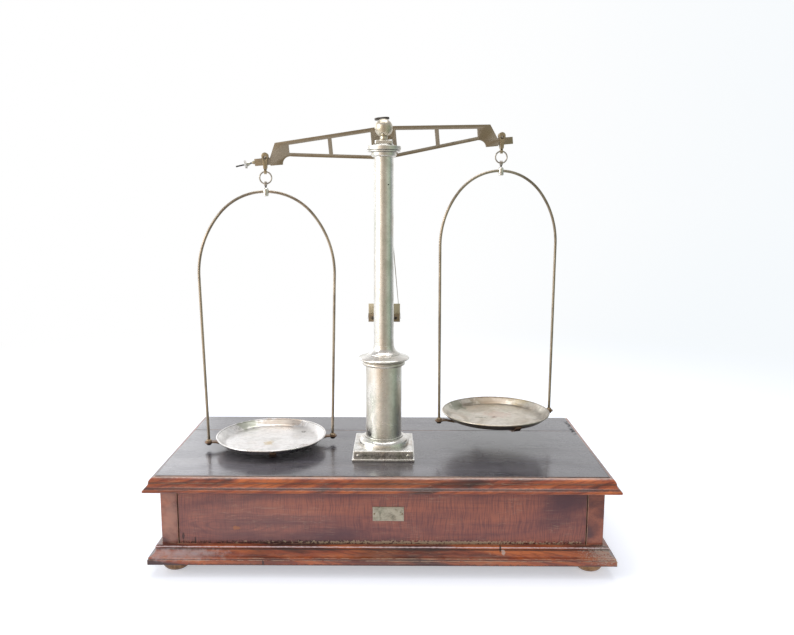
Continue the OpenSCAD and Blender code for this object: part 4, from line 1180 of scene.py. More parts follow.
@dataclass
class Case:
    """Wooden case: boards, panels, mitred mouldings, feet and the bare nameplate. Sizes in millimetres."""

    width: float = 448.0
    depth: float = 203.0
    top_reach: float = 13.8
    top_height: float = 15.0
    base_reach: float = 12.2
    base_height: float = 18.0
    mitre_loop: float = 1.6
    foot_width: float = 28.0
    foot_flat: float = 9.4
    border: float = 1.1
    border_width: float = 0.3
    border_rise: float = 0.16
    pin_width: float = 1.8

    def build(self) -> None:
        """Makes and dresses the whole case."""
        self.boards()
        self.mouldings()
        self.feet()
        self.nameplate()
        self.blocks()

    def boards(self) -> None:
        """The boards and panels."""
        for node, finish in (("top_board_front", BLACK), ("top_board_rear", BLACK), ("front_panel", PANEL),
                             ("back_panel", PANEL), ("left_side", SIDES), ("right_side", SIDES),
                             ("bottom_board", PINE)):
            Work().board(*corners(node)).piece("case_" + node, finish, node)

    def blocks(self) -> None:
        """The battens and glue blocks that the closed case hides."""
        for node in ("glue_blocks", "top_battens"):
            Work().copy_of(node, 0.4).piece("case_" + node, PINE, node)

    def top_profile(self) -> list[Point]:
        """Outline of the top moulding: x is its reach past the wall, y its height."""
        reach, high = self.top_reach, self.top_height
        middle = high - 5.8
        return [(0.0, 0.0), *arc(reach - 1.8, 1.8, 1.8, -90, 70, 9),
                *arc(reach - 0.2, middle, 4.8, 244, 184, 9), (reach - 4.6, middle),
                *arc(reach - 10.0, middle, 5.0, 6, 78, 9), (3.3, high - 0.8), (3.3, high - 10.0),
                (0.0, high - 10.0)]

    def base_profile(self) -> list[Point]:
        """Outline of the base moulding."""
        reach, high = self.base_reach, self.base_height
        return [(0.0, 0.0), *arc(reach - 0.8, 0.8, 0.8, -90, 0, 3), *arc(reach - 0.6, 5.0, 0.6, 0, 90, 3),
                (reach - 0.85, 5.7), (reach - 0.85, 7.4), *arc(reach, high - 3.4, 7.0, 262, 184, 10),
                (reach - 7.1, high - 3.3), *arc(reach - 8.3, high - 1.7, 1.7, -60, 90, 9), (0.0, high)]

    def strip(self, work: Work, profile: Sequence[Point], length: float, place: Place) -> None:
        """Adds one moulding to the bench, mitred at both ends, with a holding loop inside each mitre.

        Args:
            work: The bench.
            profile: Its outline.
            length: Length along the wall.
            place: Where it goes; its length lies on X and it reaches along Y.
        """
        end = length / 2 + max(x for x, _ in profile) + 1
        lying = Matrix(((0, 0, 1, 0), (1, 0, 0, 0), (0, 1, 0, 0), (0, 0, 0, 1)))
        part = Work().prism(profile, -end, end, lying).bm
        for side in (-1, 1):
            for inward in (0.0, self.mitre_loop):
                made = bmesh.ops.bisect_plane(
                    part, geom=part.verts[:] + part.edges[:] + part.faces[:], dist=1e-5,
                    plane_co=(side * (length / 2 - inward), 0, 0), plane_no=(side, -1, 0),
                    clear_outer=not inward)
                if not inward:
                    bmesh.ops.edgeloop_fill(part, edges=made_of(bmesh.types.BMEdge, made["geom_cut"]))
        work.take(part, place)

    def mouldings(self) -> None:
        """Both mouldings, each as a long pair and an end pair."""
        for kind, profile, finishes in (("top", self.top_profile(), (MOULDING_X, MOULDING_Y_SHADED)),
                                        ("base", self.base_profile(), (BASE_X, BASE_Y_SHADED))):
            sizes = ((self.width, self.depth), (self.depth, self.width))
            for way, turned, (length, away), finish in zip(("long", "end"), (0.0, 90.0), sizes, finishes):
                node = f"{kind}_mouldings_{way}"
                wall = shift(0, away / 2, corners(node)[0].z)
                work = Work()
                for half in (turned, turned + 180.0):
                    self.strip(work, profile, length, turn(half, "Z") @ wall)
                work.piece("case_" + node, finish, node, smooth=40)

    def feet(self) -> None:
        """Four turned bun feet."""
        low, high = corners("feet")
        tall = corners("base_mouldings_long")[0].z
        rim, flat, round_r = self.foot_width / 2, self.foot_flat, tall / 2
        profile = [(0.0, 0.0), (flat - 1.2, 0.0), (flat - 0.3, 0.25),
                   *arc(rim - round_r, round_r, round_r, -62, 62, 16), (flat, tall), (0.0, tall)]
        work = Work()
        for x in (low.x + rim, high.x - rim):
            for y in (low.y + rim, high.y - rim):
                work.lathe(profile, shift(x, y), steps=56)
        work.piece("case_feet", FOOT, "feet", smooth=50)

    def nameplate(self) -> None:
        """A bare plate with a fine raised border, held by two domed pins."""
        low, high = corners("nameplate")
        work = Work().board(low, high, soft=0.25, margin=0.9)
        x0, x1, z0, z1 = low.x + self.border, high.x - self.border, low.z + self.border, high.z - self.border
        wide = self.border_width
        for xa, xb, za, zb in ((x0, x1, z0, z0 + wide), (x0, x1, z1 - wide, z1), (x0, x0 + wide, z0, z1),
                               (x1 - wide, x1, z0, z1)):
            work.board((xa, low.y - self.border_rise, za), (xb, low.y + 0.2, zb), soft=0.08, margin=0.1)
        work.piece("case_nameplate", PLATE, "nameplate")
        r = self.pin_width / 2
        dome = [(0.0, -0.6), (r, -0.6), (r, 0.0), *arc(0.0, -0.35, r * 1.12, 20, 90, 6)]
        a, b = corners("nameplate_pins")
        pins = Work()
        for x in (a.x + r, b.x - r):
            pins.lathe(dome, shift(x, low.y - 0.05, (a.z + b.z) / 2) @ turn(90, "X"), steps=24)
        pins.piece("case_nameplate_pins", NUT_BRASS, "nameplate_pins", slot="nameplate_metal")


# The column


@dataclass
class Column:
    """Plated column: plinth, pedestal, cornice, tube, capital, dome, arm and ball. Sizes in millimetres."""

    front: float = 30.0
    steps: int = 112
    plinth_lip: float = 1.3
    lip_height: float = 2.6
    pin_r: float = 1.7
    pin_h: float = 0.65
    ring: float = 27.3
    drum: float = 19.3
    shoulder: float = 20.5
    bead: float = 21.1
    bead_r: float = 2.0
    nose: float = 27.6
    flare_r: float = 10.0
    cornice_h: float = 21.7
    tube_foot: float = 10.65
    tube_head: float = 10.25
    bell: float = 13.3
    bell_r: float = 2.8
    flange: float = 17.0
    groove: float = 16.0
    cap: float = 17.8
    cap_h: float = 11.0
    neck: float = 3.9
    neck_height: float = 4.4
    ball: float = 9.3
    rod_r: float = 3.0

    def build(self) -> None:
        """Makes and dresses the whole column."""
        self.plinth()
        self.shaft()
        self.head()
        self.rod()

    def turned(self, name: str, profile: Sequence[Point], node: str, soft: float = 0.25,
               finish: Metal = NICKEL, low: float | None = None) -> None:
        """Makes a turned, plated piece that stands for a node.

        Args:
            name: The piece's name, after the column's.
            profile: Its outline, up from its foot.
            node: The CAD node.
            soft: Rounding of its corners.
            finish: Its finish.
            low: Height of its foot, where it isn't the node's.
        """
        place = shift(0, -self.front, corners(node)[0].z if low is None else low)
        Work().lathe(softened(profile, soft), place, self.steps).piece("column_" + name, finish, node)

    def plinth(self) -> None:
        """The square plinth with its lip, and four domed pins."""
        low, high = corners("plinth")
        lip, r = self.plinth_lip, self.pin_r
        work = Work().board(low, (high.x, high.y, low.z + self.lip_height), soft=0.5, margin=0.5)
        work.board((low.x + lip, low.y + lip, low.z + 0.1), (high.x - lip, high.y - lip, high.z), soft=0.9,
                   margin=1.4)
        work.piece("column_plinth", PLINTH_NICKEL, "plinth")
        a, b = corners("plinth_pins")
        head = [(0.0, -0.8), (r, -0.8), (r, 0.0), *arc(0.0, -2.2, 2.9, 55, 90, 6)]
        pins = Work()
        for x in (a.x + r, b.x - r):
            for y, turned in ((a.y + self.pin_h, 90), (b.y - self.pin_h, -90)):
                pins.lathe(head, shift(x, y, (a.z + b.z) / 2) @ turn(turned, "X"), steps=28)
        pins.piece("column_plinth_pins", NICKEL, "plinth_pins")

    def shaft(self) -> None:
        """Pedestal; cornice with its bead, groove, sharp nose and flare; and the tapered tube."""
        low, high = corners("pedestal")
        tall, ring, drum, nose = high.z - low.z, self.ring, self.drum, self.nose
        shoulder, bead, bead_r, top = self.shoulder, self.bead, self.bead_r, self.cornice_h
        self.turned("pedestal", [
            (0.0, 0.0), (ring, 0.0), (ring, 1.4), *arc(ring - 5.6, 1.6, 5.6, 4, 84, 12),
            (shoulder + 0.4, 7.25), (shoulder, 7.4), (shoulder, 8.9), (drum, 9.0), (drum, 30.0), (drum, 60.0),
            (drum, tall), (0.0, tall)], "pedestal")
        flare = self.tube_foot + self.flare_r + 0.3
        self.turned("cornice", [
            (0.0, 0.0), (bead, 0.0), *arc(bead, bead_r, bead_r, -80, 74, 9), (bead + 0.5, 4.3),
            (bead + 0.9, 4.7), (nose - 1, 6.3), (nose - 0.2, 6.8), (nose, 7.3), (nose - 0.3, 7.9),
            (nose - 1.2, 8.6), (nose - 5.4, 10.1), (nose - 9.6, 11.5), (nose - 10.3, 11.9),
            (nose - 10.4, 12.45), *arc(flare, top, self.flare_r, 247, 181, 14), (self.tube_foot + 0.3, top),
            (0.0, top)], "cornice", soft=0.2)
        foot = corners("cornice")[1].z
        tall, taper = corners("capital")[0].z - foot, self.tube_head - self.tube_foot
        walls = [(self.tube_foot + taper * t / 8, tall * t / 8) for t in range(9)]
        self.turned("tube", [(0.0, 0.0), *walls, (0.0, tall)], "column_tube", soft=0.05, low=foot)

    def head(self) -> None:
        """Capital, dome, bearing arm with its plate, and the ball on its neck."""
        bell, bell_r, flange, groove, cap, top = (
            self.bell, self.bell_r, self.flange, self.groove, self.cap, self.cap_h)
        self.turned("capital", [
            (0.0, 0.0), *arc(bell - bell_r, bell_r, bell_r, -90, 0, 10), (bell, 5.4), (flange, 5.4),
            (flange, 6.4), (groove, 6.4), (groove, 7.2), (cap, 7.2), (cap, top), (0.0, top)],
            "capital", soft=0.3)
        self.turned("dome", [(0.0, 0.0), *arc(8.9, 0.0, 2.2, 0, 90, 10), (0.0, 2.2)], "cap_dome", soft=0.1)
        Work().copy_of("bearing_arm", 0.35, segments=3).piece("column_arm", NICKEL, "bearing_arm")
        Work().board(*corners("bearing_plate"), soft=0.2, margin=0.4).piece(
            "column_bearing_plate", AGATE, "bearing_plate")
        neck, ball = self.neck, self.ball
        middle = self.neck_height + math.sqrt(ball ** 2 - neck ** 2)
        start = -math.degrees(math.acos(neck / ball))
        self.turned("ball", [(0.0, 0.0), (5.0, 0.0), (5.0, 0.9), (neck + 0.5, 1.3), (neck, 2.0), (neck, 3.6),
                             *arc(0.0, middle, ball, start, 90, 26)], "ball_finial", 0.2, OLD_NICKEL)

    def rod(self) -> None:
        """The rod, washer and nut that pull the column down on the case."""
        low, high = corners("tie_rod")
        thread = threaded(self.rod_r, high.z - low.z, 1.0)
        rod = Work().lathe(thread, shift(0, -self.front, low.z), 32, margin=5)
        rod.piece("column_rod", STEEL, "tie_rod", smooth=20)
        for node in ("rod_washer", "rod_nut"):
            Work().copy_of(node, 0.3).piece("column_" + node, STEEL, node)


def threaded(radius: float, length: float, pitch: float) -> list[Point]:
    """Profile of a threaded rod that stands on the origin.

    Args:
        radius: Outer radius.
        length: Length.
        pitch: Distance from crest to crest.

    Returns:
        Points from the foot to the head.
    """
    inner = radius - pitch * 0.55
    points = [(0.0, 0.0), (inner, 0.0)]
    for i in range(int((length - pitch) / pitch)):
        low = pitch * (i + 0.5)
        points += [(inner, low), (radius, low + pitch * 0.4), (radius, low + pitch * 0.55)]
    return points + [(inner, length - 0.1 * pitch), (inner * 0.8, length), (0.0, length)]


# The index


@dataclass
class Index:
    """Index plate, block, bracket and screws behind the tube. Sizes in millimetres, angles in degrees."""

    screw_x: float = 12.5
    head_r: float = 1.8
    head_h: float = 1.2
    slot: float = 0.55
    slot_turns: Point = (-8.0, 28.0)
    marks: int = 10
    spread: float = 0.55
    mark_half: float = 0.12
    mark_low: float = 187.5
    mark_long: float = 7.0
    mark_short: float = 4.5

    def build(self) -> None:
        """Makes and dresses the index."""
        for kind, finish in (("bracket", BEAM_BRASS), ("block", BEAM_BRASS), ("plate", INDEX)):
            node = "index_" + kind
            Work().copy_of(node, 0.2).piece(node + "_dressed", finish, node)
        self.screws()
        self.lines()

    def screws(self) -> None:
        """Two slotted screws with round heads."""
        low, high = corners("index_screws")
        middle = (low.z + high.z) / 2
        rim, lid_r = self.head_r, self.head_r - 0.25
        half = math.degrees(math.asin(self.slot / 2 / lid_r))
        work = Work()
        for x, turned in zip((-self.screw_x, self.screw_x), self.slot_turns):
            place = shift(x, low.y + self.head_h, middle) @ turn(90, "X")
            work.lathe([(0, -0.2), (rim, -0.2), (rim, 0.3), (rim - 0.2, 0.5), (0, 0.5)], place, 32)
            for side in (0.0, 180.0):
                lid = arc(0.0, 0.0, lid_r, side + half, side + 180 - half, 14)
                work.prism(lid, 0.4, self.head_h - 0.1, place @ turn(turned, "Z"), soft=0.12)
            tip = shift(x, high.y, middle) @ turn(90, "X")
            work.lathe([(0, 0.0), (1.0, 0.0), (1.0, 2.0), (0, 2.0)], tip, 24)
        work.piece("index_screws_slotted", DARK_STEEL, "index_screws")

    def lines(self) -> None:
        """The engraved lines on the side that faces the pointer, every fifth one longer."""
        pivot, face = joint_place("beam_tilt"), corners("index_plate")[1].y
        work = Work()
        for i in range(-self.marks, self.marks + 1):
            tall = self.mark_short if i % 5 else self.mark_long
            spot = shift(pivot.x, face, pivot.z) @ turn(i * self.spread, "Y")
            work.board((-self.mark_half, -0.1, -self.mark_low), (self.mark_half, 0.02, tall - self.mark_low),
                       soft=0.02, margin=0.05, place=spot)
        work.piece("index_lines", INK)


# The beam


@dataclass
class Beam:
    """Pierced beam, knives, pointer, screws and nuts. Sizes in millimetres, angles in degrees."""

    yaw: float = 4.0
    tilt: float = 5.2
    top: float = 19.9
    low: float = 13.8
    end: float = 138.5
    tongue_z: float = -5.4
    bend: float = 8.0
    collar: float = 1.9
    pointer: float = 162.0
    pointer_r: float = 0.55
    nut_r: float = 7.9
    nut_z: float = 7.1
    nut_h: float = 2.6
    nut_teeth: int = 84
    nut_tooth: float = 0.16
    nut_play: float = 0.15
    thread: float = 0.5
    screw_r: float = 0.9
    balance_r: float = 4.3
    balance_h: float = 2.4
    balance_teeth: int = 44
    balance_tooth: float = 0.2
    balance_play: float = 0.12
    balance_x: float = 8.6
    balance_rod: float = 20.5

    def place(self) -> Place:
        """The beam's own axes: origin on the middle knife edge, X along the beam, Z up."""
        return Matrix.Translation(joint_place("beam_tilt")) @ turn(self.yaw, "Z") @ turn(-self.tilt, "Y")

    def build(self) -> None:
        """Makes and dresses everything that tilts."""
        for node, name, soft, finish in (("beam", "beam_body", 0.3, BEAM_BRASS),
                                         ("centre_knife", "centre_knife_dressed", 0.12, STEEL),
                                         ("end_knives", "end_knives_dressed", 0.12, STEEL)):
            Work().copy_of(node, soft).piece(name, finish, node, body="beam")
        self.needle()
        self.sensitivity()
        self.balance()

    def needle(self) -> None:
        """The pointer wire, drawn down to a fine tip."""
        r, long, collar = self.pointer_r, self.pointer, self.collar
        profile = [(0.0, 0.0), (collar, 0.0), (collar, 3.6), (1.5, 4.6), (1.5, 5.4), (r, 6.4), (r, 60.0),
                   (r * 0.85, 120.0), (r * 0.55, long - 6), (0.12, long), (0.0, long)]
        hung = self.place() @ shift(0, 0, -self.low) @ turn(180, "X")
        work = Work().lathe(softened(profile, 0.2), hung, 24)
        work.piece("beam_pointer", STEEL, "pointer", body="beam")

    def sensitivity(self) -> None:
        """The threaded post on the beam, and the dark nut on it with its coined edge."""
        foot, collar = self.place() @ shift(0, 0, self.top), self.collar
        post = Work().lathe([(0.0, -0.5), (collar, -0.5), (collar, 1.4), (1.5, 1.6), (0.0, 1.6)], foot, 32)
        post.lathe(threaded(self.screw_r, self.nut_z + self.nut_h + 0.6, self.thread), foot, 20, margin=5)
        post.piece("beam_sensitivity_screw", STEEL, "sensitivity_screw", body="beam", smooth=24)
        disc = coined(self.nut_r, self.screw_r + self.nut_play, self.nut_h, self.nut_teeth, self.nut_tooth)
        disc.place(foot @ shift(0, 0, self.nut_z))
        disc.piece("beam_sensitivity_nut", DARK_STEEL, "sensitivity_nut", body="sensitivity_nut")

    def balance(self) -> None:
        """The bent threaded rod past the left end, and the knurled nut on it."""
        spot = self.place() @ shift(-self.end, 0, self.tongue_z) @ turn(-90 - self.bend, "Y")
        collar, hole = self.collar, self.screw_r + self.balance_play
        Work().lathe([(0.0, -0.6), (collar, -0.6), (collar, 0.9), (1.3, 2.7), (0.0, 2.7)], spot, 32).piece(
            "beam_balance_foot", SHACKLE, body="beam")
        rod = Work().lathe(threaded(self.screw_r, self.balance_rod, self.thread), spot, 20, margin=5)
        rod.piece("beam_balance_screw", DARK_STEEL, "balance_screw", body="beam", smooth=24)
        nut = coined(self.balance_r, hole, self.balance_h, self.balance_teeth, self.balance_tooth)
        nut.lathe([(hole, -3.6), (1.7, -3.6), (1.9, -3.3), (2.7, -0.3), (3.0, 0.1), (hole, 0.1)],
                  steps=40, closed=True)
        nut.place(spot @ shift(0, 0, self.balance_x))
        nut.piece("beam_balance_nut", NICKEL, "balance_nut", body="balance_nut")


def coined(radius: float, hole: float, height: float, teeth: int, depth: float) -> Work:
    """A disc with a hole and fine teeth round its edge, standing on the origin.

    Args:
        radius: Outer radius.
        hole: Radius of the hole.
        height: Thickness.
        teeth: Number of teeth.
        depth: Depth of the teeth.

    Returns:
        A bench with the disc on it.
    """
    soft, sunk = height * 0.14, 0.12
    inner, outer, lip = radius * 0.72, radius * 0.74, radius - height * 0.14 - 0.2
    half = [(hole, 0.0), (inner, 0.0), (outer, sunk), (lip, sunk), (radius, soft)]
    whole = half + [(r, height - z) for r, z in reversed(half)]
    work = Work().lathe(whole, steps=teeth * 2, closed=True, margin=0.6)
    for vert in work.bm.verts:
        across = math.hypot(vert.co.x, vert.co.y)
        step = round(math.atan2(vert.co.y, vert.co.x) / math.pi * teeth)
        if across > radius - soft * 0.5 and step % 2:
            vert.co.xy *= (radius - depth) / across
    return work


# The hangers


@dataclass
class Hanger:
    """One end's shackle, ring, swivel, bow, strips and pan. Sizes in millimetres, angles in degrees."""

    side: Side
    yaw: float
    belly: float
    pan_finish: PanMetal
    beam_yaw: float = 4.0
    crown_drop: float = 37.0
    crown_r: float = 63.5
    crown_angle: float = 50.0
    foot: float = 68.5
    foot_upright: float = 12.1
    wire: float = 1.5
    ring_r: float = 6.3
    ring_wire: float = 0.8
    block_r: float = 3.0
    collar_r: float = 3.15
    point_r: float = 3.4
    pan_r: float = 60.7
    floor_r: float = 50.0
    pan_t: float = 0.8
    pan_h: float = 8.0
    corner_r: float = 6.0
    rim_r: float = 0.85
    dent_from: float = 12.0
    dent_fade: float = 40.0
    dent_least: float = 0.03
    dent_deep: float = 0.12
    dent_wide: float = 26.0

    def node(self, kind: str) -> str:
        """The CAD node or body of that kind at this end."""
        return f"{kind}_{self.side}"

    def box(self, kind: str) -> tuple[Vector, Vector]:
        """The corners of a node at this end, from the end knife's edge."""
        low, high = corners(self.node(kind))
        return low - self.knife(), high - self.knife()

    def knife(self) -> Vector:
        """The end knife's edge."""
        return joint_place(self.node("shackle") + "_pivot")

    def place(self, yaw: float, z: float = 0.0) -> Place:
        """Axes on the knife edge's upright, turned about it, at a height over the edge."""
        return Matrix.Translation(self.knife()) @ turn(yaw, "Z") @ shift(0, 0, z)

    def finished(self, work: Work, ending: str, finish: Metal, kind: str, body: str, **more: object) -> None:
        """Makes a piece for one node of this end, named after it.

        Args:
            work: The bench.
            ending: What follows the node's name in the piece's.
            finish: Its finish.
            kind: The kind of node.
            body: The kind of body.
            **more: A slot or an angle of smoothing.
        """
        work.piece(self.node(kind) + ending, finish, self.node(kind), body=self.node(body), **more)

    def build(self) -> None:
        """Makes and dresses everything that hangs at this end."""
        self.dressed("shackle", 0.25, SHACKLE, "shackle")
        self.ring()
        self.dressed("swivel_eye", 0.2, STEEL, "eye", smooth=45.0)
        self.block()
        self.bow()
        self.nuts()
        for kind in ("long_strip", "cross_strip"):
            self.dressed(kind, 0.28, STRIP_BRASS, "hanger")
        self.pan()

    def dressed(self, kind: str, soft: float, finish: Metal, body: str, **more: object) -> None:
        """A softened copy of one node of this end."""
        self.finished(Work().copy_of(self.node(kind), soft), "_dressed", finish, kind, body, **more)

    def ring(self) -> None:
        """The round ring that joins the shackle to the swivel."""
        low, high = self.box("ring")
        place = self.place(self.beam_yaw, (low.z + high.z) / 2) @ turn(90, "X")
        profile = arc(self.ring_r, 0.0, self.ring_wire, 0, 330, 11)
        work = Work().lathe(profile, place, 64, closed=True, margin=3)
        self.finished(work, "_round", STEEL, "ring", "ring", smooth=60)

    def block(self) -> None:
        """The turned block that the bow is fixed in."""
        low, high = self.box("swivel_block")
        tall, r = high.z - low.z, self.block_r
        profile = [(0.0, 0.0), (r - 0.7, 0.0), (r, 0.7), (r, 2.0), (r - 0.25, 2.15), (r - 0.25, 2.5),
                   (r, 2.65), (r, tall - 1.2), (r - 0.9, tall), (1.1, tall), (1.1, tall - 0.8),
                   (0.0, tall - 0.8)]
        work = Work().lathe(softened(profile, 0.15), self.place(0, low.z), 48)
        self.finished(work, "_turned", NICKEL, "swivel_block", "hanger")

    def bow(self) -> None:
        """The bow: a crown, an arc down each side, and legs that run straight to the feet."""
        crown_z = -self.crown_drop - self.crown_r
        sine, cosine = math.sin(math.radians(self.crown_angle)), math.cos(math.radians(self.crown_angle))
        side_r = (self.belly - self.crown_r * sine) / (1 - sine)
        cx, cz = (self.crown_r - side_r) * sine, crown_z + (self.crown_r - side_r) * cosine
        foot_z = self.box("bow")[0].z
        up, leg_z = self.foot_upright, foot_z + self.foot_upright
        out, down = self.foot - cx, leg_z - cz
        bend = math.atan2(down, out) + math.acos(side_r / math.hypot(out, down))
        tx, tz = cx + side_r * math.cos(bend), cz + side_r * math.sin(bend)
        sweep = 90 - self.crown_angle - math.degrees(bend)
        moves = [((0, 0, up),), ((self.foot - tx, 0, tz - leg_z),), ((-cx, 0, cz), sweep, 22),
                 ((0, 0, crown_z), 2 * self.crown_angle, 44), ((cx, 0, cz), sweep, 22),
                 ((self.foot - tx, 0, leg_z - tz),), ((0, 0, -up),)]
        work = Work().wire((-self.foot, 0, foot_z), self.wire, moves).place(self.place(self.yaw))
        self.finished(work, "_wire", BOW_BRASS, "bow", "hanger", smooth=60)

    def nuts(self) -> None:
        """The collar over each eye of the strip, and the pointed nut below it."""
        low, high = self.box("bow_nuts")
        w, c, p = self.wire, self.collar_r, self.point_r
        collar = [(w, 0.0), (c - 0.25, 0.0), (c, 0.3), (c, 1.0), (c - 0.4, 1.35), (c - 0.4, 1.7), (2.2, 2.3),
                  (w, 2.5)]
        cone = [(w, 2.2), (p - 0.1, 2.2), (p, 1.7), (p - 0.3, 1.1), (2.1, -0.3), (0.0, -0.8), (0.0, 0.1),
                (w, 0.1)]
        for profile, z, name, finish in ((collar, high.z - 2.2, "bow_collars", NUT_BRASS),
                                         (cone, low.z, "bow_points", DARK_STEEL)):
            work = Work()
            for x in (-self.foot, self.foot):
                work.lathe(softened(profile, 0.15), self.place(self.yaw) @ shift(x, 0, z), 32, closed=True)
            work.piece(self.node(name), finish, self.node("bow_nuts"), body=self.node("hanger"),
                       slot="bow_brass")

    def pan(self) -> None:
        """The spun pan: flat floor, rounded corner, sloping wall and rolled rim, with slight dents."""
        t, r, inner, rim = self.pan_t, self.floor_r, self.corner_r, self.rim_r
        outer = inner + t
        profile = [*((r * k / 5, t) for k in range(6)), *arc(r, outer, inner, -84, -45, 6),
                   *arc(self.pan_r - rim, self.pan_h - rim, rim, 168, -60, 12),
                   *arc(r, outer, outer, -45, -90, 7), *((r * k / 5, 0.0) for k in range(4, -1, -1))]
        work = Work().lathe(profile, steps=144, margin=1.0)
        for vert in work.bm.verts:
            vert.co += self.dent(vert.co)
        work.place(self.place(self.yaw, self.box("pan")[0].z))
        self.finished(work, "_spun", self.pan_finish, "pan", "pan", smooth=50)

    def dent(self, spot: Vector) -> Vector:
        """Slight dents, all upwards, that fade out towards the middle, where the strips carry the pan."""
        out = min(1.0, max(0.0, (spot.xy.length - self.dent_from) / self.dent_fade))
        lump = noise.noise(Vector((spot.x, spot.y, self.side.value * 40.0)) / self.dent_wide)
        return Vector((0, 0, self.dent_least + self.dent_deep * out * (1 + lump)))


# The studio


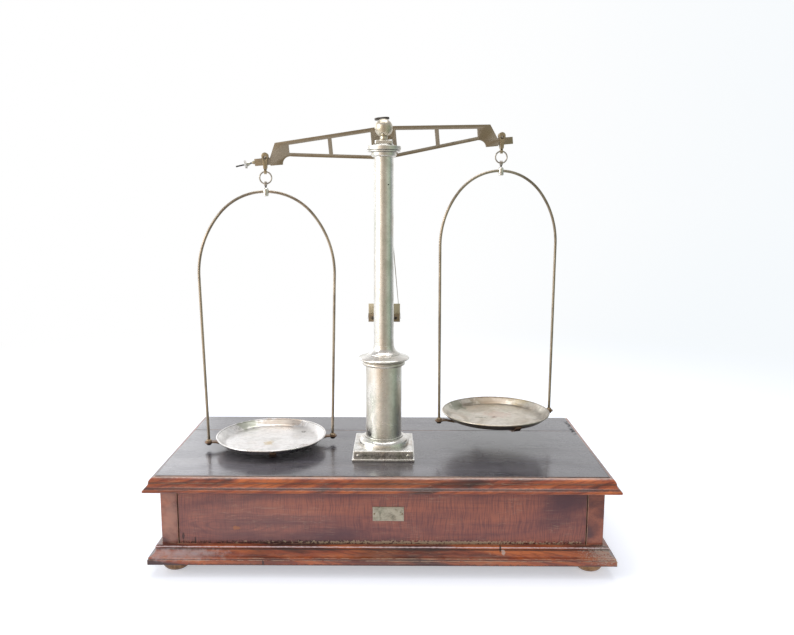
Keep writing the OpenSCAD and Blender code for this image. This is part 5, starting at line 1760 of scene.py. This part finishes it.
@dataclass
class Studio:
    """Floor, lamps, world and the camera at the photograph's viewing angle. Sizes in metres."""

    camera_at: Sequence[float] = (0.0165, -0.8301, 0.3778)
    pitch: float = 8.833
    swing: float = 0.173
    roll: float = 0.15
    focal_pixels: float = 760.0
    image_width: float = 794.0
    sensor: float = 36.0
    aim: Sequence[float] = (0.0, 0.0, 0.22)
    floor_half: float = 14.0
    floor_glow: Point = (0.44, 0.31)
    sky_light: float = 0.62
    room_light: float = 1.25
    far_light: float = 1.15
    seen_fade: Point = (0.4, 1.5)
    mirrored_fade: Point = (0.27, 0.42)
    lit_fade: Point = (1.5, 8.0)
    room_colours: Sequence[tuple[float, str]] = (
        (0.0, "e6e6e7"), (0.139, "f4f4f5"), (0.222, "ffffff"), (0.345, "fffdfa"), (0.38, "fff4e8"),
        (0.408, "f6e9da"), (0.436, "d2c4b4"), (0.465, "b0a596"), (0.5, "a0978b"), (0.561, "9f998c"),
        (0.628, "abb1a3"), (0.697, "96a293"), (0.736, "808c80"), (0.783, "90959a"), (0.839, "bdc0c0"),
        (0.922, "dedfe0"), (1.0, "e6e6e7"))

    def build(self) -> None:
        """Sets up the studio, with lamps overhead, from the left, from behind and from the front."""
        self.camera()
        self.floor()
        self.world()
        self.lamp("overhead", (0.0, 0.15, 1.9), (1.4, 1.0), 17.0, "ffffff")
        self.lamp("key", (-1.8, -0.7, 0.9), (1.3, 1.5), 23.5, "fffefc")
        self.lamp("back", (-1.3, 1.9, 1.0), (1.3, 1.0), 4.0, "f8faff")
        self.lamp("fill", (0.7, -2.0, 0.9), (1.6, 1.0), 8.0, "f8f9ff", mirrored=False)
        bpy.context.scene.view_settings.view_transform = "Standard"

    def camera(self) -> None:
        """The camera, with its lens worked out for the image's width in pixels."""
        data = bpy.data.cameras.new("camera")
        data.sensor_width = self.sensor
        data.lens = self.focal_pixels * self.sensor / self.image_width
        data.clip_start = 0.02
        obj = placed("camera", data)
        ahead = turn(self.swing, "Z") @ turn(90 - self.pitch, "X") @ turn(self.roll, "Z")
        obj.matrix_world = Matrix.Translation(self.camera_at) @ ahead
        bpy.context.scene.camera = obj

    def room(self, g: Graph, way: Socket) -> Socket:
        """The room's colour by direction: white left and behind, warm grey in front, olive right."""
        x, y, _ = g.parts(way)
        bearing = g.math("DIVIDE", g.math("ARCTAN2", x, g.times(y, -1.0)), 2 * math.pi)
        return g.ramp(g.plus(bearing, 0.5), self.room_colours)

    def backdrop(self, g: Graph, way: Socket) -> Socket:
        """White paper that turns faintly blue towards the right."""
        return g.mix(g.step(g.parts(way)[0], 0.0, 0.6), colour("ffffff"), colour("f6fafd"))

    def floor(self) -> None:
        """A wide pale floor that takes the shadow, and far away looks like the backdrop or the room."""
        bm = bmesh.new()
        bmesh.ops.create_grid(bm, x_segments=8, y_segments=8, size=self.floor_half)
        mesh = bpy.data.meshes.new("floor")
        bm.to_mesh(mesh)
        bm.free()
        paper_look = bpy.data.materials.new("floor_paper")
        g = Graph.of(paper_look)
        rays = g.add("LightPath").outputs
        seen, mirrored = rays["Is Camera Ray"], rays["Is Glossy Ray"]
        spot = g.here()
        distance, way = g.vector("LENGTH", spot), g.vector("NORMALIZE", spot)
        glow = g.most(g.times(seen, self.floor_glow[0]), g.times(mirrored, self.floor_glow[1]))
        paper = g.add("BsdfPrincipled", None, Roughness=0.9, Base_Color=colour("dadde4"),
                      Emission_Color=colour("f8faff"), Emission_Strength=glow)
        lit = g.blend(g.step(distance, *self.lit_fade), self.room_light, self.room_light * self.far_light)
        far, near = g.step(distance, *self.seen_fade), g.step(distance, *self.mirrored_fade)
        surface = paper.outputs[0]
        for part, tint, strength in ((g.times(seen, far), self.backdrop(g, way), 1.0),
                                     (g.times(mirrored, near), self.room(g, way), lit)):
            surface = g.shown(part, surface, g.add("Emission", None, tint, strength).outputs[0])
        g.add("OutputMaterial", None, surface)
        mesh.materials.append(paper_look)
        placed("floor", mesh)

    def world(self) -> None:
        """An even pale light, with the room in reflections and the backdrop for the camera."""
        world = bpy.data.worlds.new("studio")
        bpy.context.scene.world = world
        g = Graph.of(world)
        way = g.add("TexCoord").outputs["Generated"]
        room = g.mix(g.step(g.parts(way)[2], 0.28, 0.8), self.room(g, way), colour("a3a2a4"))
        rays = g.add("LightPath").outputs
        mirrored = g.most(rays["Is Glossy Ray"], rays["Is Transmission Ray"])
        surface = g.add("Background", None, colour("eef0f4"), self.sky_light).outputs[0]
        for part, tint, strength in ((mirrored, room, self.room_light * self.far_light),
                                     (rays["Is Camera Ray"], self.backdrop(g, way), 1.0)):
            surface = g.shown(part, surface, g.add("Background", None, tint, strength).outputs[0])
        g.add("OutputWorld", None, surface)

    def lamp(self, name: str, at: Sequence[float], size: Point, watts: float, tint: str,
             mirrored: bool = True) -> None:
        """One soft rectangular lamp that faces the balance's middle.

        Args:
            name: The lamp's name.
            at: Where it stands.
            size: Its width and height.
            watts: Its power.
            tint: Its colour.
            mirrored: Whether reflections show it.
        """
        data = bpy.data.lights.new(name, "AREA")
        data.shape = "RECTANGLE"
        data.size, data.size_y = size
        data.energy = watts
        data.color = colour(tint)[:3]
        obj = placed(name, data)
        facing = (Vector(self.aim) - Vector(at)).to_track_quat("-Z", "Y").to_matrix().to_4x4()
        obj.matrix_world = Matrix.Translation(at) @ facing
        obj.visible_camera = False
        obj.visible_glossy = mirrored


def main() -> None:
    """Builds the studio, then each sub-assembly in order."""
    logging.basicConfig(level=logging.INFO, format="%(message)s")
    Studio().build()
    Case().build()
    Column().build()
    Index().build()
    Beam().build()
    Hanger(Side.LEFT, 10.5, 72.5, LEFT_PAN).build()
    Hanger(Side.RIGHT, 18.0, 69.5, RIGHT_PAN).build()
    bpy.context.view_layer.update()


if __name__ == "__main__":
    main()
